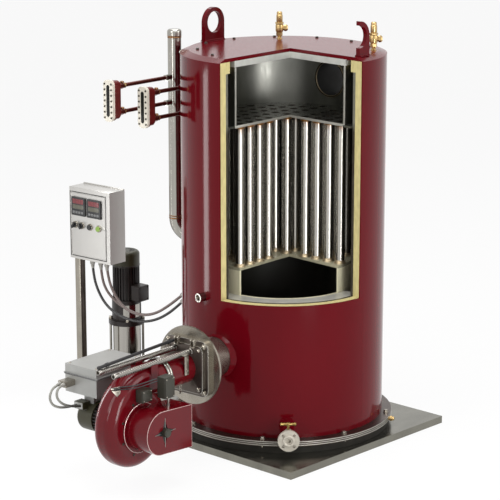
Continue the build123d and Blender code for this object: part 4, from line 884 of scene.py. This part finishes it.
def junction_box():
    seam = Piece()
    for k in range(30):
        x = -1190 + 10 * k
        for y in (131.5, 341):
            seam.box((x, y, 488), (x + 6, y + 5.5, 496.5), 0.6)
    for k in range(20):
        y = 141 + 10 * k
        for x in (-1199.5, -890):
            seam.box((x, y, 488), (x + 5.5, y + 6, 496.5), 0.6)
    seam.box((-1196, 135, 488.5), (-888, 343, 491.8), 1)
    seam.show("junction_seam", SEAM_GREY, "burner", "light_grey")
    screws = Piece()
    for x in (-1176, -908):
        for y in (155, 323):
            screws.lathe([(6, 0), (6, 1.6), (4.4, 3), (0, 3)], (x, y, 537), UP, 14)
    screws.show("junction_screws", "machined_steel", "burner")
    nuts, reliefs = pieces(2)
    for y in (312, 290):
        at = (JUNCTION_X, y, LEAD_Z)
        nuts.lathe([(10, 0), (12.6, 1), (12.6, 13), (10, 14)], at, MINUS_X, 6)
        nuts.lathe([(10, 34), (12, 36), (12, 50), (9, 52)], at, MINUS_X, 6, turn=0.5)
        reliefs.lathe([(10.4, 0), (10.4, 4), (9.6, 5), (9.6, 8), (8.8, 9), (8.8, 12), (8, 13), (8, 16),
                       (7.2, 17), (7.2, 20), (6.6, 21), (6.6, 24)],
                      (JUNCTION_X - 56, y, LEAD_Z), (-1, 0, -0.07), 18)
    nuts.show("lead_gland_nuts", "cast_grey", "burner")
    reliefs.show("lead_reliefs", "gland_nylon", "burner")


neck_fittings()
burner_mount()
slide_bars()
burner_air_side()
burner_boxes()
fan_motor_end()
junction_box()


# Drain, cabinet and pump

DRAIN_AZ = 221.65
DRAIN_R = 563.5
DOOR_X = -273
CONTROL_Z = 915
# place across, place up, width and height of each bar of a digit
DIGIT_BARS = ((0, 20, 9, 2), (0, 11, 9, 2), (0, 2, 9, 2), (-1, 12, 2, 8), (-1, 3, 2, 8),
              (8, 12, 2, 8), (8, 3, 2, 8))
CABINET_GLAND_X = -243
CABINET_GLAND_Y = (1072, 1013, 970)
CABINET_FLOOR_Z = 734
PUMP_X = 16
PUMP_Y = 1078


def drain():
    x, y = polar(DRAIN_R, DRAIN_AZ)
    out = outward(DRAIN_AZ)
    across = outward(DRAIN_AZ - 90)
    handle = Piece()
    middle = Vector((x, y, 190))
    handle.lathe([(0, -39), (6, -38), (8.8, -35), (8.8, -30), (7, -26), (7, -12), (9, -9), (9, 9), (7, 12),
                  (7, 26), (8.8, 30), (8.8, 35), (6, 38), (0, 39)], middle, across, 20)
    handle.lathe([(5.6, -25), (5.6, -8), (9.6, -7), (9.6, 6), (7, 9)], middle, UP, 16)
    handle.show("drain_tee_handle", HANDLE_BRASS, "drain_handle", "brass", ["drain_handle"])
    trim = Piece()
    face = out * 56.5
    centre = Vector((x, y, 124)) + face
    trim.ring([(17, -1), (29, -1), (29, 5), (27, 6.4), (19, 6.4), (17, 5)], centre, out, 40)
    trim.lathe([(15, 0), (17, 2), (17, 9), (14, 11)], Vector((x, y, 150)), UP, 6)
    trim.show("drain_face", "cast_grey")
    bolts = Piece()
    for k in range(4):
        u, v = polar(37.5, 45 + 90 * k)
        at = centre + across * u + Vector((0, 0, v))
        bolts.lathe([(5, -2), (5, 1.2), (3.8, 1.4), (3.8, 4.2), (2.8, 5), (0, 5)], at, out, 12)
    bolts.show("drain_bolts", "machined_steel")


def door_panel():
    """Instrument faces, selectors, buttons, lock and the door's folded edge."""
    screens, strips, keys, rims, segments = pieces(5)
    for y in (1132, 1021):
        front = -282
        rims.prism(rounded_outline(96, 96, 5), (front + 3, y, 1015), MINUS_Y, UP, 3.2, 1.2)
        screens.box((front - 1.4, y - 38, 1029), (front + 0.5, y + 38, 1055), 0.5)
        strips.box((front - 1.2, y - 38, 1002), (front + 0.5, y + 38, 1024), 0.5)
        for k in range(4):
            keys.box((front - 2.4, y - 37 + 19.5 * k, 978), (front + 0.5, y - 21 + 19.5 * k, 991), 1.0)
        for digit in range(4):
            left = y + 29 - 19 * digit
            for dy, dz, w, h in DIGIT_BARS:
                segments.box((front - 1.9, left - dy - w, 1030 + dz),
                             (front - 1.2, left - dy, 1030 + dz + h))
    rims.show("controller_bezels", "instrument_black", "door")
    screens.show("controller_screens", SCREEN_RED, "door", "instrument_black")
    segments.show("controller_digits", DIGIT_RED, "door", "instrument_black")
    strips.show("controller_strips", STRIP_GREEN, "door", "instrument_black")
    keys.show("controller_keys", SEAM_GREY, "door", "light_grey")
    rings, knobs, go = pieces(3)
    for k, y in enumerate((1162, 1116, 1056, 994)):
        at = (DOOR_X, y, CONTROL_Z)
        rings.lathe([(18, 0), (18, 4), (16.5, 6), (14.5, 6.4)], at, MINUS_X, 32)
        cap = go if k == 3 else knobs
        cap.lathe([(14.2, 5), (14.2, 11), (12.8, 12.6), (0, 13.2)], at, MINUS_X, 28)
        if k < 2:
            turn = Matrix.Rotation(math.radians(-28 if k else 28), 4, "X")
            knobs.box((-298.5, y - 5, CONTROL_Z - 16), (-283, y + 5, CONTROL_Z + 16), 2, turn)
            rings.box((-299, y - 1.2, CONTROL_Z + 3), (-298, y + 1.2, CONTROL_Z + 14), 0.2, turn)
    knobs.show("selector_knobs", "instrument_black", "door", replaces=["panel_controls"])
    rings.show("control_rings", "machined_steel", "door")
    go.show("start_button", GO_GREEN, "door", "instrument_black")
    edge = Piece()
    loop = [(-273.4, 948, 755), (-273.4, 1189, 755), (-273.4, 1189, 1083), (-273.4, 948, 1083)]
    edge.tube(loop + loop[:2], 1.4, 6)
    edge.lathe([(10, 0), (10, 3), (8, 4), (0, 4)], (DOOR_X, 958, 919), MINUS_X, 24)
    edge.box((-278, 956.6, 911), (-276.5, 959.4, 927), 0.4)
    edge.show("door_edge", "stainless_sheet", "door")
    seam = Piece()
    seam.tube([(-273.2, 1184, 750.5), (-273.2, 943.5, 750.5), (-273.2, 943.5, 1087.5),
               (-273.2, 1184, 1087.5)], 1.0, 6)
    seam.show("door_seal", SEAM_GREY, slot="gland_nylon")
    lip = Piece().box((-273, 915, 1110), (-160, 1201, 1113), 0.8)
    lip.box((-168, 915, 1111), (-160, 1201, 1118), 1.2)
    lip.show("cabinet_lip", "stainless_sheet")


def cabinet_glands():
    nuts, reliefs = pieces(2)
    for y in CABINET_GLAND_Y:
        at = (CABINET_GLAND_X, y, CABINET_FLOOR_Z)
        nuts.lathe([(13, 0), (15, 1), (15, 7), (13, 8)], at, DOWN, 6)
        nuts.lathe([(11, 10), (13.5, 11), (13.5, 19), (11, 21)], at, DOWN, 6, turn=0.4)
        reliefs.lathe([(11, 0), (11, 4), (10.2, 5), (10.2, 9), (9.4, 10), (9.4, 14), (8.6, 15), (8.6, 19),
                       (7.7, 20), (7.7, 25)],
                      (CABINET_GLAND_X, y, CABINET_FLOOR_Z - 18), (0, -0.08, -1), 18)
    nuts.show("cabinet_gland_nuts", "gland_nylon")
    reliefs.show("cable_reliefs", "gland_nylon")


def post():
    """Channel with its open side towards the boiler, and a dark box filling its inside as painted shade."""
    lo, hi = (-250, 1155), (-212, 1193)
    channel = Piece()
    for x0, x1, y0 in ((lo[0], lo[0] + 4, lo[1]), (hi[0] - 4, hi[0], lo[1]),
                       (lo[0] + 2, hi[0] - 2, hi[1] - 4)):
        channel.box((x0, y0, 36), (x1, hi[1], CABINET_FLOOR_Z), 1.2)
    channel.show("post_channel", "machined_steel", replaces=["post"])
    # Painted shade: a dark box fills the channel's inside, where shade falls.
    inside_shade = Piece().box((lo[0] + 3.5, lo[1] + 3, 37), (hi[0] - 3.5, hi[1] - 3.5, CABINET_FLOOR_Z - 1), 1.0)
    inside_shade.show("post_inside_painted_shade", MOUNT_DARK, slot="stainless_sheet")


def pump():
    guard = Piece()
    for middle in (-90, 90):
        guard.arc(72, 75, 382, 452, middle - 27, middle + 27, 14, (PUMP_X, PUMP_Y))
    for middle in (234.5, 54.5):
        guard.arc(78.2, 80, 382, 452, middle - 24.5, middle + 24.5, 14, (PUMP_X, PUMP_Y))
    guard.lathe([(22, 380), (22, 404), (30, 406), (30, 430), (22, 432), (22, 454)],
                (PUMP_X, PUMP_Y, 0), UP, 28)
    guard.show("coupling_guard", "polished_steel")
    nuts = Piece()
    for k in range(4):
        x, y = polar(86, 45 + 90 * k)
        nuts.bolt((PUMP_X + x, PUMP_Y + y, 364), UP, 15, 12)
        nuts.bolt((PUMP_X + x, PUMP_Y + y, 96), UP, 15, 8)
        u, v = polar(68, 45 + 90 * k)
        nuts.bolt((PUMP_X + u, PUMP_Y + v, 474), DOWN, 10, 6)
    nuts.show("pump_nuts", "machined_steel")
    vents = Piece()
    for k in range(20):
        x, y = polar(36, 18 * k)
        x, y = PUMP_X + x, PUMP_Y + y
        turn = Matrix.Rotation(math.radians(18 * k), 4, "Z")
        vents.box((x - 13, y - 1.5, 737.4), (x + 13, y + 1.5, 738.8), 0.3, turn)
    vents.ring([(73, 0), (74.4, 1), (74.4, 7), (73, 8)], (PUMP_X, PUMP_Y, 655), UP, 64)
    vents.show("fan_cover_vents", "motor_black")
    lid = Piece().prism(rounded_outline(74, 82, 5), (PUMP_X, 954, 520), PLUS_X, UP, 5, 1.4)
    for sx, sz in CORNERS:
        lid.bolt((PUMP_X + 29 * sx, 949, 520 + 33 * sz), MINUS_Y, 7, 3)
    lid.show("pump_terminal_lid", "motor_black")
    ports = Piece()
    for side in (-1, 1):
        ports.lathe([(24, 0), (34, 1), (34, 11), (24, 12)], (PUMP_X + 108 * side, PUMP_Y, 66),
                    (side, 0, 0), 6)
    ports.show("pump_port_nuts", "cast_grey")


drain()
door_panel()
cabinet_glands()
post()
pump()


# Stage, light and camera

WHITE = (1.0, 1.0, 1.0, 1.0)
FLOOR_REACH = 45.0
CAMERA_PITCH = math.radians(13.61)


def lamp(name, at, aim, size, power, tall=None):
    data = bpy.data.lights.new(name, "AREA")
    data.energy = power
    data.shape = "RECTANGLE"
    data.size = size
    data.size_y = tall or size
    obj = placed(name, data)
    obj.location = at
    obj.rotation_euler = (Vector(aim) - Vector(at)).to_track_quat("-Z", "Y").to_euler()
    obj.visible_camera = False


def seen_as(tree, lit, seen, share):
    """One shader for what the camera, mirrors and glass see, another for what lights the object."""
    path = tree.nodes.new("ShaderNodeLightPath")
    clear = maths(tree, "MAXIMUM", path.outputs["Is Camera Ray"], path.outputs["Is Glossy Ray"])
    clear = maths(tree, "MAXIMUM", clear, path.outputs["Is Transmission Ray"])
    mix = tree.nodes.new("ShaderNodeMixShader")
    tree.links.new(maths(tree, "MULTIPLY", clear, share), mix.inputs["Fac"])
    tree.links.new(lit.outputs[0], mix.inputs[1])
    tree.links.new(seen.outputs[0], mix.inputs[2])
    return mix.outputs[0]


world = bpy.data.worlds.new("studio")
bpy.context.scene.world = world
world.use_nodes = True
tree = world.node_tree
ambient = tree.nodes["Background"]
backdrop = tree.nodes.new("ShaderNodeBackground")
for shader, strength in ((ambient, 0.4), (backdrop, 1.0)):
    shader.inputs["Color"].default_value = WHITE
    shader.inputs["Strength"].default_value = strength
tree.links.new(seen_as(tree, ambient, backdrop, 1.0), tree.nodes["World Output"].inputs["Surface"])

floor_mesh = bpy.data.meshes.new("floor")
corners = [(x * FLOOR_REACH, y * FLOOR_REACH, 0) for x, y in ((-1, -1), (1, -1), (1, 1), (-1, 1))]
floor_mesh.from_pydata(corners, [], [(0, 1, 2, 3)])
floor = placed("floor", floor_mesh)
pale = Finish("floor_pale", (240, 240, 240), 0.8, 0.0, 0.01, 0.5, 40, 0.05, 0.02)
bright = pale.nodes.new("ShaderNodeEmission")
bright.inputs["Color"].default_value = WHITE
pale.link(seen_as(pale.mat.node_tree, pale.bsdf, bright, 0.9),
          pale.nodes["Material Output"].inputs["Surface"])
floor_mesh.materials.append(pale.mat)

lamp("key_left", (-4.2, 0.8, 3.6), (0, 0, 1.0), 2.0, 66, 3.4)
lamp("fill_right", (1.6, -5.0, 3.0), (0, 0, 1.0), 2.2, 70, 3.0)
lamp("top", (-0.6, -0.6, 5.5), (0, 0, 1.0), 3.0, 150)
lamp("rim_left", (-1.42, 1.48, 0.95), (-1.48, -0.22, 0.95), 0.3, 14.5, 1.3)
lamp("burner_strip", (-4.0, 0.1, 1.5), (-1.1, 0, 0.35), 0.25, 9, 1.2)
lamp("front_low", (-1.35, -3.1, 0.8), (0, 0, 0.95), 0.9, 42, 1.5)
lamp("back_fill", (3.2, 3.2, 6.2), (0, 0, 0.8), 2.4, 80)

camera_data = bpy.data.cameras.new("camera")
camera_data.lens = 145.12
camera_data.sensor_width = 36.0
camera_data.sensor_fit = "HORIZONTAL"
camera_data.clip_end = 200.0
camera = placed("camera", camera_data)
camera.location = (-7.5613, -6.0498, 3.2504)
level = math.cos(CAMERA_PITCH)
look = Vector((0.7703 * level, 0.6377 * level, -math.sin(CAMERA_PITCH)))
camera.rotation_euler = look.to_track_quat("-Z", "Y").to_euler()
bpy.context.scene.camera = camera
bpy.context.scene.view_settings.view_transform = "Standard"
